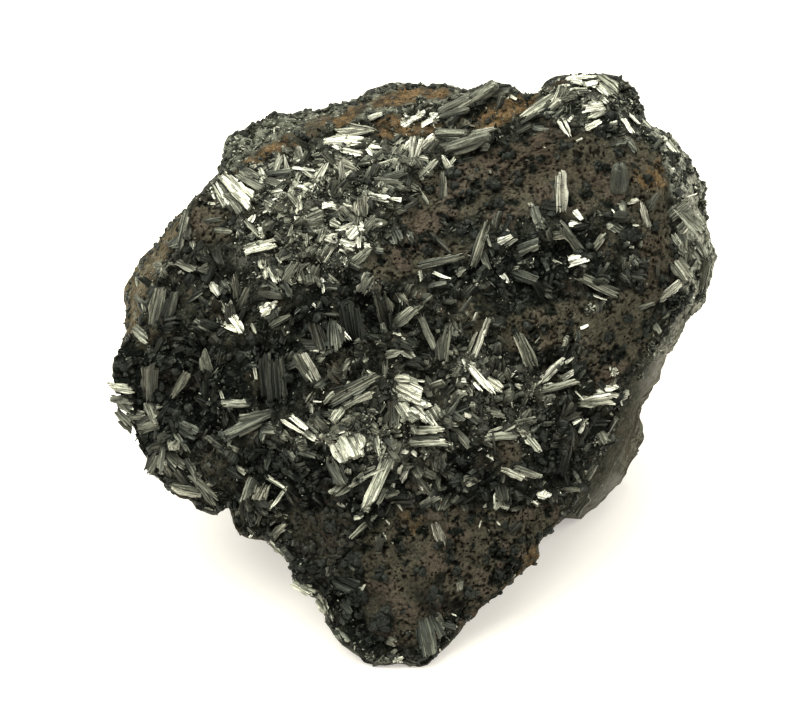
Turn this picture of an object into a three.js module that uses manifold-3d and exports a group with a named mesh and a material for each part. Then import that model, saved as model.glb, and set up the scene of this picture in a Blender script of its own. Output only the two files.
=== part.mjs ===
// Pyrolusite hand specimen: a broken lump of brown-black manganese ore whose sloping display
// face carries sheaves, fans and single blades of pyrolusite. Millimetres, +Z up, -Y to the front.
// The lump is one closed solid. Each large sheaf that stands clear of its neighbours is a solid of
// its own, seated in a shallow socket in the lump.
import * as THREE from "three";
import { mergeVertices } from "three/addons/utils/BufferGeometryUtils.js";
import Module from "manifold-3d";

// ---------------------------------------------------------------- driving dimensions
const UNIT = 0.14; // mm: one drawing unit on the display plane
const CENTRE = [400, 352]; // drawing position of the middle of the display plane
const RADIAL = [400, 360]; // drawing position of the pole that the outlines are measured round
const EYE = 420; // mm from the display plane to the point that the outlines converge on
const LEAN = (40 * Math.PI) / 180; // elevation that the display face looks up at
const HEIGHT = 34.4; // mm of the middle of the display plane above the resting plane
const ORIGIN = [1.395, 6.954]; // mm: moves the middle of the bounding box onto the origin
const FOOT = [10, -4]; // mm: middle of the broad foot on the underside
const DETAIL = 12; // subdivision of the lump's icosahedron
const BACK = -36; // mm: depth of the back edge behind the display plane
const SEAT_GAP = 0.3; // mm between a sheaf and its socket
const SEAT_DEPTH = 0.3; // mm that the middle of a sheaf's foot is sunk below the face

// Where the rings of the lump lie, as angles from the display direction.
const DEG = Math.PI / 180;
const RINGS = { face: 68 * DEG, widest: 84 * DEG, waist: 104 * DEG, back: 126 * DEG };

// The widest outline, in drawing units, with its depth in mm: [x, y, depth]
const OUTLINE = [
  [221, 172, -10], [222, 160, -11], [225, 143, -13], [230, 137, -14], [238, 131, -14], [245, 131, -14],
  [250, 125, -14], [258, 121, -15], [266, 116, -15], [272, 111, -15], [280, 113, -15], [290, 113, -15],
  [300, 110, -16], [308, 108, -16], [318, 109, -16], [325, 109, -16], [332, 104, -16], [340, 102, -16],
  [350, 101, -16], [358, 99, -17], [363, 95, -17], [372, 90, -18], [380, 87, -18], [390, 85, -18],
  [400, 85, -18], [410, 85, -18], [420, 84, -18], [432, 84, -18], [445, 82, -18], [455, 87, -17],
  [465, 90, -15], [475, 88, -14], [485, 86, -13], [496, 86, -12], [503, 87, -12], [508, 88, -12],
  [514, 88, -11], [520, 92, -10], [530, 94, -9], [540, 91, -9], [548, 84, -9], [556, 79, -9],
  [566, 76, -9], [578, 74, -9], [590, 73, -9], [600, 73, -9], [610, 74, -9], [620, 76, -9],
  [628, 78, -9], [634, 82, -8], [638, 88, -8], [639, 95, -8], [642, 103, -8], [644, 112, -8],
  [645, 120, -8], [650, 127, -8], [658, 130, -8], [666, 133, -9], [672, 136, -9], [678, 141, -9],
  [683, 149, -9], [688, 156, -10], [692, 165, -10], [698, 172, -11], [702, 180, -11], [707, 184, -12],
  [706, 192, -12], [704, 202, -12], [707, 212, -12], [709, 222, -12], [712, 233, -12], [711, 243, -12],
  [713, 255, -12], [713, 265, -12], [711, 275, -12], [708, 285, -11], [706, 295, -10], [703, 303, -9],
  [696, 310, -8], [688, 316, -8], [684, 322, -8], [682, 332, -8], [678, 340, -8], [672, 349, -9],
  [666, 354, -9], [663, 365, -11], [658, 380, -13], [652, 392, -15], [645, 402, -17], [641, 415, -18],
  [643, 428, -19], [642, 438, -20], [638, 445, -21], [634, 452, -21], [632, 460, -22], [628, 470, -22],
  [622, 481, -23], [615, 490, -23], [606, 500, -24], [598, 507, -24], [590, 513, -24], [582, 520, -23],
  [575, 519, -20], [565, 520, -14], [556, 524, -9], [549, 532, -6], [547, 536, -5], [541, 541, -4],
  [539, 545, -4], [540, 550, -3], [539, 558, -3], [536, 563, -3], [530, 568, -3], [522, 573, -2],
  [512, 581, -2], [505, 588, -2], [497, 597, -2], [488, 603, -2], [480, 609, -1], [474, 614, -1],
  [466, 622, -1], [460, 631, -1], [452, 639, -1], [445, 646, -1], [440, 652, -1], [434, 658, -1],
  [428, 664, -1], [420, 667, -1], [412, 665, -1], [400, 664, -1], [385, 665, -1], [375, 664, -1],
  [365, 663, -1], [361, 658, -1], [357, 652, -1], [350, 648, -1], [342, 643, -1], [336, 638, -1],
  [333, 631, -1], [326, 622, -2], [324, 610, -2], [318, 600, -2], [312, 596, -2], [300, 590, -2],
  [293, 583, -2], [291, 577, -2], [290, 571, -3], [292, 566, -3], [290, 561, -3], [284, 553, -3],
  [275, 548, -3], [268, 541, -3], [258, 539, -3], [248, 537, -3], [240, 534, -3], [236, 528, -3],
  [234, 520, -3], [232, 512, -4], [229, 506, -4], [222, 508, -4], [214, 513, -5], [206, 511, -5],
  [198, 507, -5], [194, 500, -5], [188, 498, -5], [180, 497, -5], [172, 492, -5], [165, 487, -5],
  [164, 480, -5], [160, 479, -5], [153, 476, -5], [150, 468, -5], [147, 460, -6], [144, 455, -6],
  [136, 454, -6], [129, 450, -6], [133, 440, -6], [131, 430, -6], [127, 420, -6], [121, 412, -6],
  [118, 402, -5], [110, 400, -5], [112, 394, -5], [102, 389, -5], [97, 386, -5], [100, 378, -5],
  [106, 374, -5], [104, 366, -5], [108, 358, -5], [116, 354, -5], [119, 345, -6], [122, 340, -7],
  [128, 330, -9], [125, 325, -10], [125, 315, -11], [125, 300, -12], [126, 290, -12], [131, 280, -13],
  [135, 270, -13], [140, 261, -13], [148, 252, -13], [156, 244, -13], [162, 234, -13], [168, 224, -12],
  [174, 219, -11], [178, 215, -10], [186, 210, -9], [190, 202, -9], [196, 196, -9], [206, 190, -9],
  [212, 183, -9], [217, 176, -9],
];

// The edge of the crystal-covered display face, in drawing units: [x, y]
const FACE_EDGE = [
  [222, 175], [240, 168], [270, 152], [300, 140], [330, 128], [370, 118], [400, 112], [440, 104],
  [470, 94], [500, 90], [520, 97], [535, 98], [550, 91], [575, 83], [600, 81], [622, 85], [633, 95],
  [637, 108], [640, 121], [650, 133], [664, 146], [672, 165], [678, 190], [680, 215], [682, 240],
  [684, 262], [686, 285], [680, 305], [668, 325], [655, 345], [640, 362], [626, 378], [620, 400],
  [612, 420], [602, 442], [592, 465], [580, 487], [570, 505], [558, 520], [547, 533], [539, 543],
  [537, 553], [532, 563], [520, 571], [504, 586], [488, 600], [472, 612], [463, 622], [449, 639],
  [437, 652], [426, 662], [400, 661], [367, 660], [351, 646], [337, 634], [328, 619], [320, 600],
  [302, 588], [294, 572], [287, 554], [269, 539], [249, 534], [238, 522], [231, 508], [214, 510],
  [199, 503], [180, 494], [167, 483], [153, 471], [147, 456], [132, 447], [135, 435], [123, 412],
  [113, 396], [100, 386], [109, 368], [119, 352], [131, 335], [142, 322], [146, 300], [155, 280],
  [165, 262], [174, 240], [184, 215], [200, 196], [212, 185],
];

// Relief of the display face: [x, y, depth in mm towards the front]
const RELIEF = [
  [230, 178, -5], [270, 155, -7], [300, 142, -8], [350, 125, -9], [400, 114, -10], [440, 106, -10],
  [475, 95, -9], [500, 92, -8], [535, 100, -7], [575, 84, -6], [622, 86, -6], [640, 120, -5.5],
  [664, 145, -4.5], [678, 190, -3.5], [682, 240, -3], [686, 285, -3.5], [668, 325, -4], [640, 362, -4],
  [620, 400, -3.5], [602, 442, -4], [580, 487, -4.5], [558, 520, -4], [538, 550, -3], [504, 587, -2],
  [464, 622, -1], [428, 660, -0.5], [365, 660, -0.5], [328, 620, -1.5], [292, 572, -2], [248, 535, -2.5],
  [214, 511, -4], [166, 484, -4.5], [131, 447, -5], [100, 386, -4.5], [118, 352, -4], [142, 322, -3],
  [155, 280, -3], [174, 240, -3.5], [200, 195, -4.5], [260, 200, -2], [300, 190, -2.5], [340, 165, -5],
  [400, 160, -5], [440, 150, -5.5], [470, 170, -5], [520, 140, -4.5], [560, 130, -3.5], [600, 110, -3.5],
  [620, 150, -2.5], [560, 190, -2], [640, 210, -1.5], [500, 200, -3], [430, 200, -3], [370, 200, -1],
  [320, 230, 0.5], [260, 250, 0.5], [200, 250, -1.5], [200, 310, 0], [250, 310, 2], [310, 300, 3],
  [370, 260, 1.5], [420, 260, 0.5], [480, 250, -0.5], [540, 260, -0.5], [600, 270, 0], [640, 290, -1],
  [400, 320, 3], [460, 320, 2], [520, 320, 1], [580, 340, 0.5], [630, 330, -1.5], [150, 360, -2],
  [200, 380, 0], [260, 370, 3], [320, 370, 4], [380, 380, 4.5], [440, 380, 3], [500, 380, 2],
  [560, 380, 1], [600, 390, -0.5], [160, 430, -2.5], [210, 450, -0.5], [270, 440, 2], [330, 440, 4],
  [400, 440, 4.5], [460, 440, 2.5], [520, 440, 1], [570, 450, -0.5], [230, 490, -1], [280, 500, 1],
  [340, 500, 2.5], [390, 490, 3], [440, 490, 1.5], [500, 490, 0], [550, 490, -1.5], [320, 550, 0],
  [380, 560, 1], [440, 550, 1], [500, 550, 0], [360, 610, 0.5], [410, 610, 1], [450, 600, 0.5],
  [400, 645, 0.8],
];

// Fracture planes that break the hidden sides: [nx, ny, nz, distance] with x right, y up the
// display plane, z out of it, in mm from the middle of the display plane.
const FRACTURES = [
  [0.05, 0.1, -1.0, 35.0], [0.55, 0.15, -0.82, 40.0], [-0.62, 0.12, -0.78, 36.5], [0.1, 0.72, -0.69, 41.0],
  [-0.45, 0.6, -0.66, 39.5], [0.5, 0.58, -0.64, 43.5], [0.82, 0.22, -0.53, 48.3], [-0.86, -0.28, -0.43, 37.0],
  [-0.7, 0.62, -0.35, 41.5],
];

// The large sheaves, fans and blades: name, foot x, y, free end x, y and width in drawing units,
// how far the free end leans out of the face in degrees, number of blades, fan angle in degrees,
// and how far the broad side is turned towards the top of the face in degrees.
const SHEAVES = [
  ["crystal_fan_upper_left", 220, 178, 257, 205, 20, 16, 4, 20, 28],
  ["crystal_blade_left_rim", 178, 253, 187, 210, 8, 6, 2, 4, 20],
  ["crystal_sheaf_left_shoulder", 246, 251, 278, 243, 12, 22, 3, 10, 22],
  ["crystal_blade_left_bright", 222, 303, 246, 334, 10, 19, 2, 3, 28],
  ["crystal_sheaf_left_dark", 152, 322, 168, 287, 14, 19, 3, 8, 0],
  ["crystal_sheaf_crest_upper", 447, 116, 497, 86, 16, 5, 3, 5, 12],
  ["crystal_sheaf_crest_lower", 447, 148, 491, 139, 14, 16, 3, 8, 12],
  ["crystal_blade_crest_pale", 555, 99, 520, 121, 12, 13, 2, 5, 18],
  ["crystal_blade_knob_twin", 556, 114, 570, 139, 8, 19, 2, 3, 26],
  ["crystal_sheaf_knob_bright", 603, 107, 581, 118, 15, 16, 3, 14, 28],
  ["crystal_blade_knob_right", 621, 116, 634, 135, 9, 16, 2, 5, 26],
  ["crystal_fan_knob_top", 599, 84, 616, 102, 13, 13, 3, 14, 22],
  ["crystal_sheaf_right_tall", 560, 211, 560, 169, 14, 16, 3, 3, 26],
  ["crystal_sheaf_right_dark", 619, 191, 620, 161, 15, 26, 3, 8, 0],
  ["crystal_needles_right", 648, 228, 640, 198, 7, 19, 2, 8, 24],
  ["crystal_blade_pale_upper_centre", 443, 198, 443, 173, 8, 19, 2, 3, 14],
  ["crystal_blade_long_upper_centre", 472, 265, 487, 219, 11, 13, 2, 3, 14],
  ["crystal_blade_curved_right", 580, 250, 557, 221, 9, 13, 2, 4, 14],
  ["crystal_sheaf_right_long", 615, 294, 574, 275, 13, 13, 3, 8, 14],
  ["crystal_sheaf_right_rim", 661, 299, 682, 283, 10, 16, 3, 10, 28],
  ["crystal_sheaf_shelf", 421, 266, 468, 254, 11, 6, 2, 4, 10],
  ["crystal_sheaf_centre_upper", 396, 325, 424, 301, 11, 19, 2, 7, 16],
  ["crystal_blade_centre_pale", 471, 356, 486, 320, 11, 19, 2, 5, 20],
  ["crystal_sheaf_centre_grey", 532, 367, 518, 332, 14, 19, 3, 5, 14],
  ["crystal_blade_centre_bright", 498, 394, 470, 369, 12, 19, 2, 6, 28],
  ["crystal_blade_right_cream_upper", 543, 380, 564, 361, 9, 19, 2, 4, 26],
  ["crystal_blade_right_cream_lower", 541, 392, 585, 381, 9, 13, 2, 5, 20],
  ["crystal_sheaf_right_low_bright", 579, 403, 620, 393, 15, 16, 3, 9, 26],
  ["crystal_blade_low_pale", 516, 431, 485, 437, 12, 19, 2, 3, 22],
  ["crystal_blade_low_small", 523, 432, 540, 452, 8, 19, 2, 3, 20],
  ["crystal_sheaf_low_split", 413, 439, 450, 440, 15, 16, 3, 3, 18],
  ["crystal_sheaf_heart_bright", 423, 401, 399, 376, 21, 22, 4, 10, 28],
  ["crystal_sheaf_left_point", 130, 389, 102, 386, 12, 6, 3, 4, 26],
  ["crystal_blade_left_upper", 211, 375, 198, 348, 12, 22, 2, 3, 18],
  ["crystal_columns_left_centre", 276, 395, 271, 351, 22, 16, 4, 5, 2],
  ["crystal_blade_centre_left_bright", 323, 385, 300, 349, 10, 19, 2, 3, 28],
  ["crystal_sheaf_centre_long", 335, 401, 379, 377, 12, 16, 3, 5, 6],
  ["crystal_blade_low_left", 249, 404, 220, 404, 8, 19, 2, 3, 22],
  ["crystal_fan_low_left", 272, 412, 222, 436, 16, 13, 3, 9, 10],
  ["crystal_sheaf_heart_low", 361, 442, 330, 456, 16, 19, 3, 6, 24],
  ["crystal_fan_left_rim", 200, 492, 171, 487, 13, 6, 3, 14, 18],
  ["crystal_fan_lower_left", 253, 520, 267, 479, 14, 13, 3, 8, 20],
  ["crystal_blade_lower_centre", 352, 480, 330, 498, 12, 19, 2, 4, 14],
  ["crystal_blade_lower_long", 389, 465, 364, 510, 13, 16, 2, 4, 18],
  ["crystal_blade_lower_arrow", 377, 514, 350, 539, 7, 13, 2, 4, 20],
  ["crystal_fan_bottom", 425, 613, 436, 650, 18, 10, 3, 12, 12],
];

// ---------------------------------------------------------------- the display frame
const EX = new THREE.Vector3(1, 0, 0);
const EY = new THREE.Vector3(0, Math.sin(LEAN), Math.cos(LEAN));
const EZ = new THREE.Vector3(0, -Math.cos(LEAN), Math.sin(LEAN));
const MIDDLE = new THREE.Vector3(0, 0, HEIGHT);

// A drawing position at a depth, as millimetres along the display frame's own axes.
function local(x, y, depth) {
  const s = ((EYE - depth) / EYE) * UNIT;
  return new THREE.Vector3((x - CENTRE[0]) * s, (CENTRE[1] - y) * s, depth);
}
// The display frame's own axes to the specimen's standing frame.
function standing(p) {
  return new THREE.Vector3()
    .addScaledVector(EX, p.x)
    .addScaledVector(EY, p.y)
    .addScaledVector(EZ, p.z)
    .add(MIDDLE)
    .add(new THREE.Vector3(-ORIGIN[0], -ORIGIN[1], 0));
}

// ---------------------------------------------------------------- helpers
function rayHit(points, angle) {
  // The furthest crossing of a closed outline with a ray from the pole, and its depth.
  const dx = Math.cos(angle), dy = -Math.sin(angle);
  let best = 0, depth = 0;
  for (let i = 0; i < points.length; i++) {
    const p = points[i], q = points[(i + 1) % points.length];
    const ax = p[0] - RADIAL[0], ay = p[1] - RADIAL[1];
    const ex = q[0] - p[0], ey = q[1] - p[1];
    const det = dx * -ey + ex * dy;
    if (Math.abs(det) < 1e-12) continue;
    const r = (ax * -ey + ex * ay) / det;
    const t = (dx * ay - dy * ax) / det;
    if (t >= -1e-9 && t <= 1 + 1e-9 && r > best) {
      best = r;
      depth = p.length > 2 ? p[2] + (q[2] - p[2]) * t : 0;
    }
  }
  return [best, depth];
}

function thinPlate(samples) {
  // A thin-plate spline through [x, y, value].
  const n = samples.length, m = n + 3, k = 0.01;
  const kernel = (d2) => (d2 < 1e-12 ? 0 : d2 * Math.log(d2) * 0.5);
  const a = Array.from({ length: m }, () => new Float64Array(m + 1));
  const at = samples.map((s) => [s[0] * k, s[1] * k]);
  for (let i = 0; i < n; i++) {
    for (let j = 0; j < n; j++)
      a[i][j] = kernel((at[i][0] - at[j][0]) ** 2 + (at[i][1] - at[j][1]) ** 2) + (i === j ? 0.02 : 0);
    a[i][n] = a[n][i] = 1;
    a[i][n + 1] = a[n + 1][i] = at[i][0];
    a[i][n + 2] = a[n + 2][i] = at[i][1];
    a[i][m] = samples[i][2];
  }
  for (let c = 0; c < m; c++) {
    let p = c;
    for (let r = c + 1; r < m; r++) if (Math.abs(a[r][c]) > Math.abs(a[p][c])) p = r;
    [a[c], a[p]] = [a[p], a[c]];
    for (let r = 0; r < m; r++) {
      if (r === c) continue;
      const f = a[r][c] / a[c][c];
      if (f) for (let j = c; j <= m; j++) a[r][j] -= f * a[c][j];
    }
  }
  const w = a.map((row, i) => row[m] / row[i]);
  return (x, y) => {
    const u = x * k, v = y * k;
    let s = w[n] + w[n + 1] * u + w[n + 2] * v;
    for (let i = 0; i < n; i++) s += w[i] * kernel((at[i][0] - u) ** 2 + (at[i][1] - v) ** 2);
    return s;
  };
}

// Smooth value noise in 3-D, from -1 to 1.
function hash(i, j, k) {
  let h = (Math.imul(i, 374761393) + Math.imul(j, 668265263) + Math.imul(k, 1274126177)) | 0;
  h = Math.imul(h ^ (h >>> 13), 1274126177);
  return ((h ^ (h >>> 16)) >>> 0) / 2147483648 - 1;
}
function noise(x, y, z) {
  const i = Math.floor(x), j = Math.floor(y), k = Math.floor(z);
  const f = (t) => t * t * (3 - 2 * t);
  const u = f(x - i), v = f(y - j), w = f(z - k);
  const mix = (a, b, t) => a + (b - a) * t;
  const row = (dj, dk) => mix(hash(i, j + dj, k + dk), hash(i + 1, j + dj, k + dk), u);
  return mix(mix(row(0, 0), row(1, 0), v), mix(row(0, 1), row(1, 1), v), w);
}

// The display face's depth: its broad relief, with hummocks on it.
const broad = thinPlate(RELIEF);
const relief = (x, y) => broad(x, y) + 0.8 * noise(x / 58, y / 58, 3.3) + 0.45 * noise(x / 31, y / 31, 8.7);
const smooth = (t) => t * t * (3 - 2 * t);

// ---------------------------------------------------------------- the lump
// A direction on the unit sphere (x right, y up the display plane, z out of it) to the lump's skin.
function skin(d) {
  const angle = Math.atan2(d.y, d.x);
  const phi = Math.acos(Math.max(-1, Math.min(1, d.z)));
  const [rf] = rayHit(FACE_EDGE, angle);
  const [rs, ws] = rayHit(OUTLINE, angle);
  const c = Math.cos(angle), s = Math.sin(angle);
  const at = (r, w) => local(RADIAL[0] + r * c, RADIAL[1] - r * s, w);
  const backShare = 0.8 + 0.05 * Math.sin(2 * angle + 0.6) + 0.03 * Math.sin(5 * angle);
  const backDepth = BACK + 2.5 * Math.sin(3 * angle + 1.1);
  const wf = relief(RADIAL[0] + rf * c, RADIAL[1] - rf * s);
  let p;
  if (phi <= RINGS.face) {
    const k = Math.sqrt((1 - Math.cos(phi)) / (1 - Math.cos(RINGS.face)));
    const x = RADIAL[0] + k * rf * c, y = RADIAL[1] - k * rf * s;
    p = local(x, y, relief(x, y));
  } else if (phi <= RINGS.widest) {
    const k = (phi - RINGS.face) / (RINGS.widest - RINGS.face);
    p = at(rf + (rs - rf) * Math.pow(k, 0.85), wf + (Math.min(ws, wf) - wf) * Math.pow(k, 1.15));
  } else if (phi <= RINGS.waist) {
    const k = (phi - RINGS.widest) / (RINGS.waist - RINGS.widest);
    const w1 = Math.min(ws, wf);
    p = at(rs * (1 - 0.05 * smooth(k)), w1 + ((w1 + backDepth) / 2 - w1) * k);
  } else if (phi <= RINGS.back) {
    const k = (phi - RINGS.waist) / (RINGS.back - RINGS.waist);
    const w1 = (Math.min(ws, wf) + backDepth) / 2;
    p = at(rs * (0.95 + (backShare - 0.95) * Math.pow(k, 1.4)), w1 + (backDepth - w1) * Math.pow(k, 0.9));
  } else {
    const k = Math.sqrt((1 + Math.cos(phi)) / (1 + Math.cos(RINGS.back)));
    p = at(rs * backShare * k, backDepth - 4 * (1 - k * k));
  }
  // Lumps on the hidden sides, none on the face and its outline.
  const hidden = smooth(Math.max(0, Math.min(1, (phi - RINGS.widest) / (16 * DEG))));
  const out = new THREE.Vector3(p.x, p.y, p.z + 18).normalize();
  const lump = 1.5 * noise(p.x / 13 + 7, p.y / 13, p.z / 13) + 0.8 * noise(p.x / 5.5, p.y / 5.5 + 3, p.z / 5.5);
  p.addScaledVector(out, (lump - 0.9) * hidden);
  for (const [nx, ny, nz, dist] of FRACTURES) {
    const n = new THREE.Vector3(nx, ny, nz).normalize();
    const over = p.dot(n) - dist;
    if (over > 0) p.addScaledVector(n, -0.92 * over);
  }
  const q = standing(p);
  // The underside: hollows up to 2 mm deep between flat feet, and none at its broad middle foot
  // or under the tip.
  const clear = Math.min(1, Math.max(0, (Math.hypot(q.x - FOOT[0], q.y - FOOT[1]) - 8) / 4));
  const tip = Math.min(1, Math.max(0, (q.y + 31) / 6));
  const rise = Math.max(0, 2.6 * noise(q.x / 9 + 2.3, q.y / 9 + 5.1, 0.5) - 0.05) * smooth(clear) * smooth(tip);
  if (q.z < rise) q.z = rise;
  return q;
}

function lump() {
  const g = new THREE.IcosahedronGeometry(1, DETAIL);
  g.deleteAttribute("normal");
  g.deleteAttribute("uv");
  const m = mergeVertices(g, 1e-5);
  const pos = m.getAttribute("position");
  const d = new THREE.Vector3();
  for (let i = 0; i < pos.count; i++) {
    d.fromBufferAttribute(pos, i).normalize();
    const q = skin(d);
    pos.setXYZ(i, q.x, q.y, q.z);
  }
  return m;
}

// ---------------------------------------------------------------- the sheaves
// One blade: a long flat crystal with an oblique chisel end, along +X from its foot, its broad
// side facing +Z.
function blade(length, width, thick, slant) {
  const h = width / 2;
  const s = new THREE.Shape();
  s.moveTo(0, -h * 0.7);
  s.lineTo(length - slant * width, -h);
  s.lineTo(length, -h * 0.2);
  s.lineTo(length - slant * width * 0.6, h);
  s.lineTo(0, h * 0.7);
  s.closePath();
  const g = new THREE.ExtrudeGeometry(s, { depth: thick, bevelEnabled: false, curveSegments: 1 });
  g.translate(0, 0, -thick / 2);
  return g;
}

const wasm = await Module();
wasm.setup();

function solid(geometry) {
  const g = geometry.clone();
  g.deleteAttribute("normal");
  g.deleteAttribute("uv");
  const m = mergeVertices(g, 1e-5);
  return new wasm.Manifold(
    new wasm.Mesh({
      numProp: 3,
      vertProperties: new Float32Array(m.getAttribute("position").array),
      triVerts: new Uint32Array(m.index.array),
    }),
  );
}

function geometryOf(manifold) {
  const m = manifold.getMesh();
  const g = new THREE.BufferGeometry();
  g.setAttribute("position", new THREE.BufferAttribute(new Float32Array(m.vertProperties), 3));
  g.setIndex(new THREE.BufferAttribute(new Uint32Array(m.triVerts), 1));
  return g;
}

// The sheaf's blades joined into one solid, and the socket that it sits in, in the standing frame.
function sheaf([, fx, fy, ex, ey, width, pitch, count, fan, tilt]) {
  const foot = standing(local(fx, fy, relief(fx, fy) - SEAT_DEPTH));
  const reach = UNIT * Math.hypot(ex - fx, ey - fy);
  const end = standing(local(ex, ey, relief(fx, fy) - SEAT_DEPTH + reach * Math.tan(pitch * DEG)));
  const along = end.clone().sub(foot);
  const length = along.length();
  along.normalize();
  const faces = EZ.clone().multiplyScalar(Math.cos(tilt * DEG)).addScaledVector(EY, Math.sin(tilt * DEG));
  const up = faces.addScaledVector(along, -faces.dot(along)).normalize();
  const side = new THREE.Vector3().crossVectors(up, along).normalize();
  const frame = new THREE.Matrix4().makeBasis(along, side, up).setPosition(foot);
  const w = width * UNIT;
  const one = count > 1 ? (w / count) * 1.3 : w;
  const box = new THREE.Box3();
  let made = null;
  for (let i = 0; i < count; i++) {
    const k = count > 1 ? i / (count - 1) - 0.5 : 0;
    const odd = i % 2 === 1;
    const g = blade(length * (odd ? 0.9 : 1), one, Math.max(0.6, one * 0.6), odd ? 0.75 : 0.5);
    g.applyMatrix4(new THREE.Matrix4().makeRotationZ(k * fan * DEG)
      .setPosition(0, k * (w - one) * (fan > 6 ? 0.7 : 1), (odd ? 0.2 : -0.1) * one));
    g.computeBoundingBox();
    box.union(g.boundingBox);
    g.applyMatrix4(frame);
    made = made ? made.add(solid(g)) : solid(g);
  }
  const size = box.getSize(new THREE.Vector3()), mid = box.getCenter(new THREE.Vector3());
  const hole = new THREE.BoxGeometry(size.x + 2 * SEAT_GAP, size.y + 2 * SEAT_GAP, size.z + 2 * SEAT_GAP);
  hole.translate(mid.x, mid.y, mid.z);
  hole.applyMatrix4(frame);
  return [made, solid(hole)];
}

// ---------------------------------------------------------------- assembly
const ore = new THREE.MeshStandardMaterial({ color: 0x4a413a, roughness: 0.92, metalness: 0.0 });
const steel = new THREE.MeshStandardMaterial({ color: 0x8d8f8a, roughness: 0.38, metalness: 0.85 });

const specimen = new THREE.Group();
specimen.name = "pyrolusite_specimen";

let matrix = solid(lump());
const sheaves = [];
for (const row of SHEAVES) {
  const [made, socket] = sheaf(row);
  matrix = matrix.subtract(socket);
  sheaves.push([row[0], made]);
}
// A socket can leave a loose chip of the lump, which falls away.
matrix = matrix.decompose().sort((a, b) => b.volume() - a.volume())[0];

const body = new THREE.Mesh(geometryOf(matrix), ore);
body.name = "matrix_rock";
specimen.add(body);
for (const [name, made] of sheaves) {
  const mesh = new THREE.Mesh(geometryOf(made), steel);
  mesh.name = name;
  specimen.add(mesh);
}

export default specimen;
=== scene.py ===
# Looks of the pyrolusite hand specimen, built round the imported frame.
# The display face is laid out in drawing units of 0.14 mm, x to the right and y down.
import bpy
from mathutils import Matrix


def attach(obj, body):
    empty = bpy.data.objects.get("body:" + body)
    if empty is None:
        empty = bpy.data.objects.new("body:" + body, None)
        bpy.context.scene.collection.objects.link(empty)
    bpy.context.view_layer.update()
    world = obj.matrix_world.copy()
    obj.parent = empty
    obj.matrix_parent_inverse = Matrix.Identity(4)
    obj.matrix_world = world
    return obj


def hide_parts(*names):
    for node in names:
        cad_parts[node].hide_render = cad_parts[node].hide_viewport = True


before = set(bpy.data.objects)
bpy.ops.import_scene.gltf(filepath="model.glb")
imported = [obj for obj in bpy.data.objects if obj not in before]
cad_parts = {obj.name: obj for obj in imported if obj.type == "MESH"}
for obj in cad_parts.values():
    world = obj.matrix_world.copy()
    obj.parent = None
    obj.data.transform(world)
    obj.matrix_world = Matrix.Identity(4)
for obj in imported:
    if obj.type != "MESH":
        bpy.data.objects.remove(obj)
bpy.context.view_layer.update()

import math

import bpy
import numpy as np
from mathutils import Vector
from mathutils.bvhtree import BVHTree

# ------------------------------------------------------------------ the frame's own dimensions
UNIT = 0.14
CENTRE = (400.0, 352.0)
RADIAL = (400.0, 360.0)
EYE = 420.0
LEAN = math.radians(40)
HEIGHT = 34.4
ORIGIN = (1.395, 6.954)
BACK = -36.0
FOOT = (10.0, -4.0)
SEAT_DEPTH = 0.3
DEG = math.pi / 180
CAD_RINGS = (68 * DEG, 84 * DEG, 104 * DEG, 126 * DEG)
RINGS = (100 * DEG, 109 * DEG, 124 * DEG, 140 * DEG)  # most of the triangles go to the face

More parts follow.
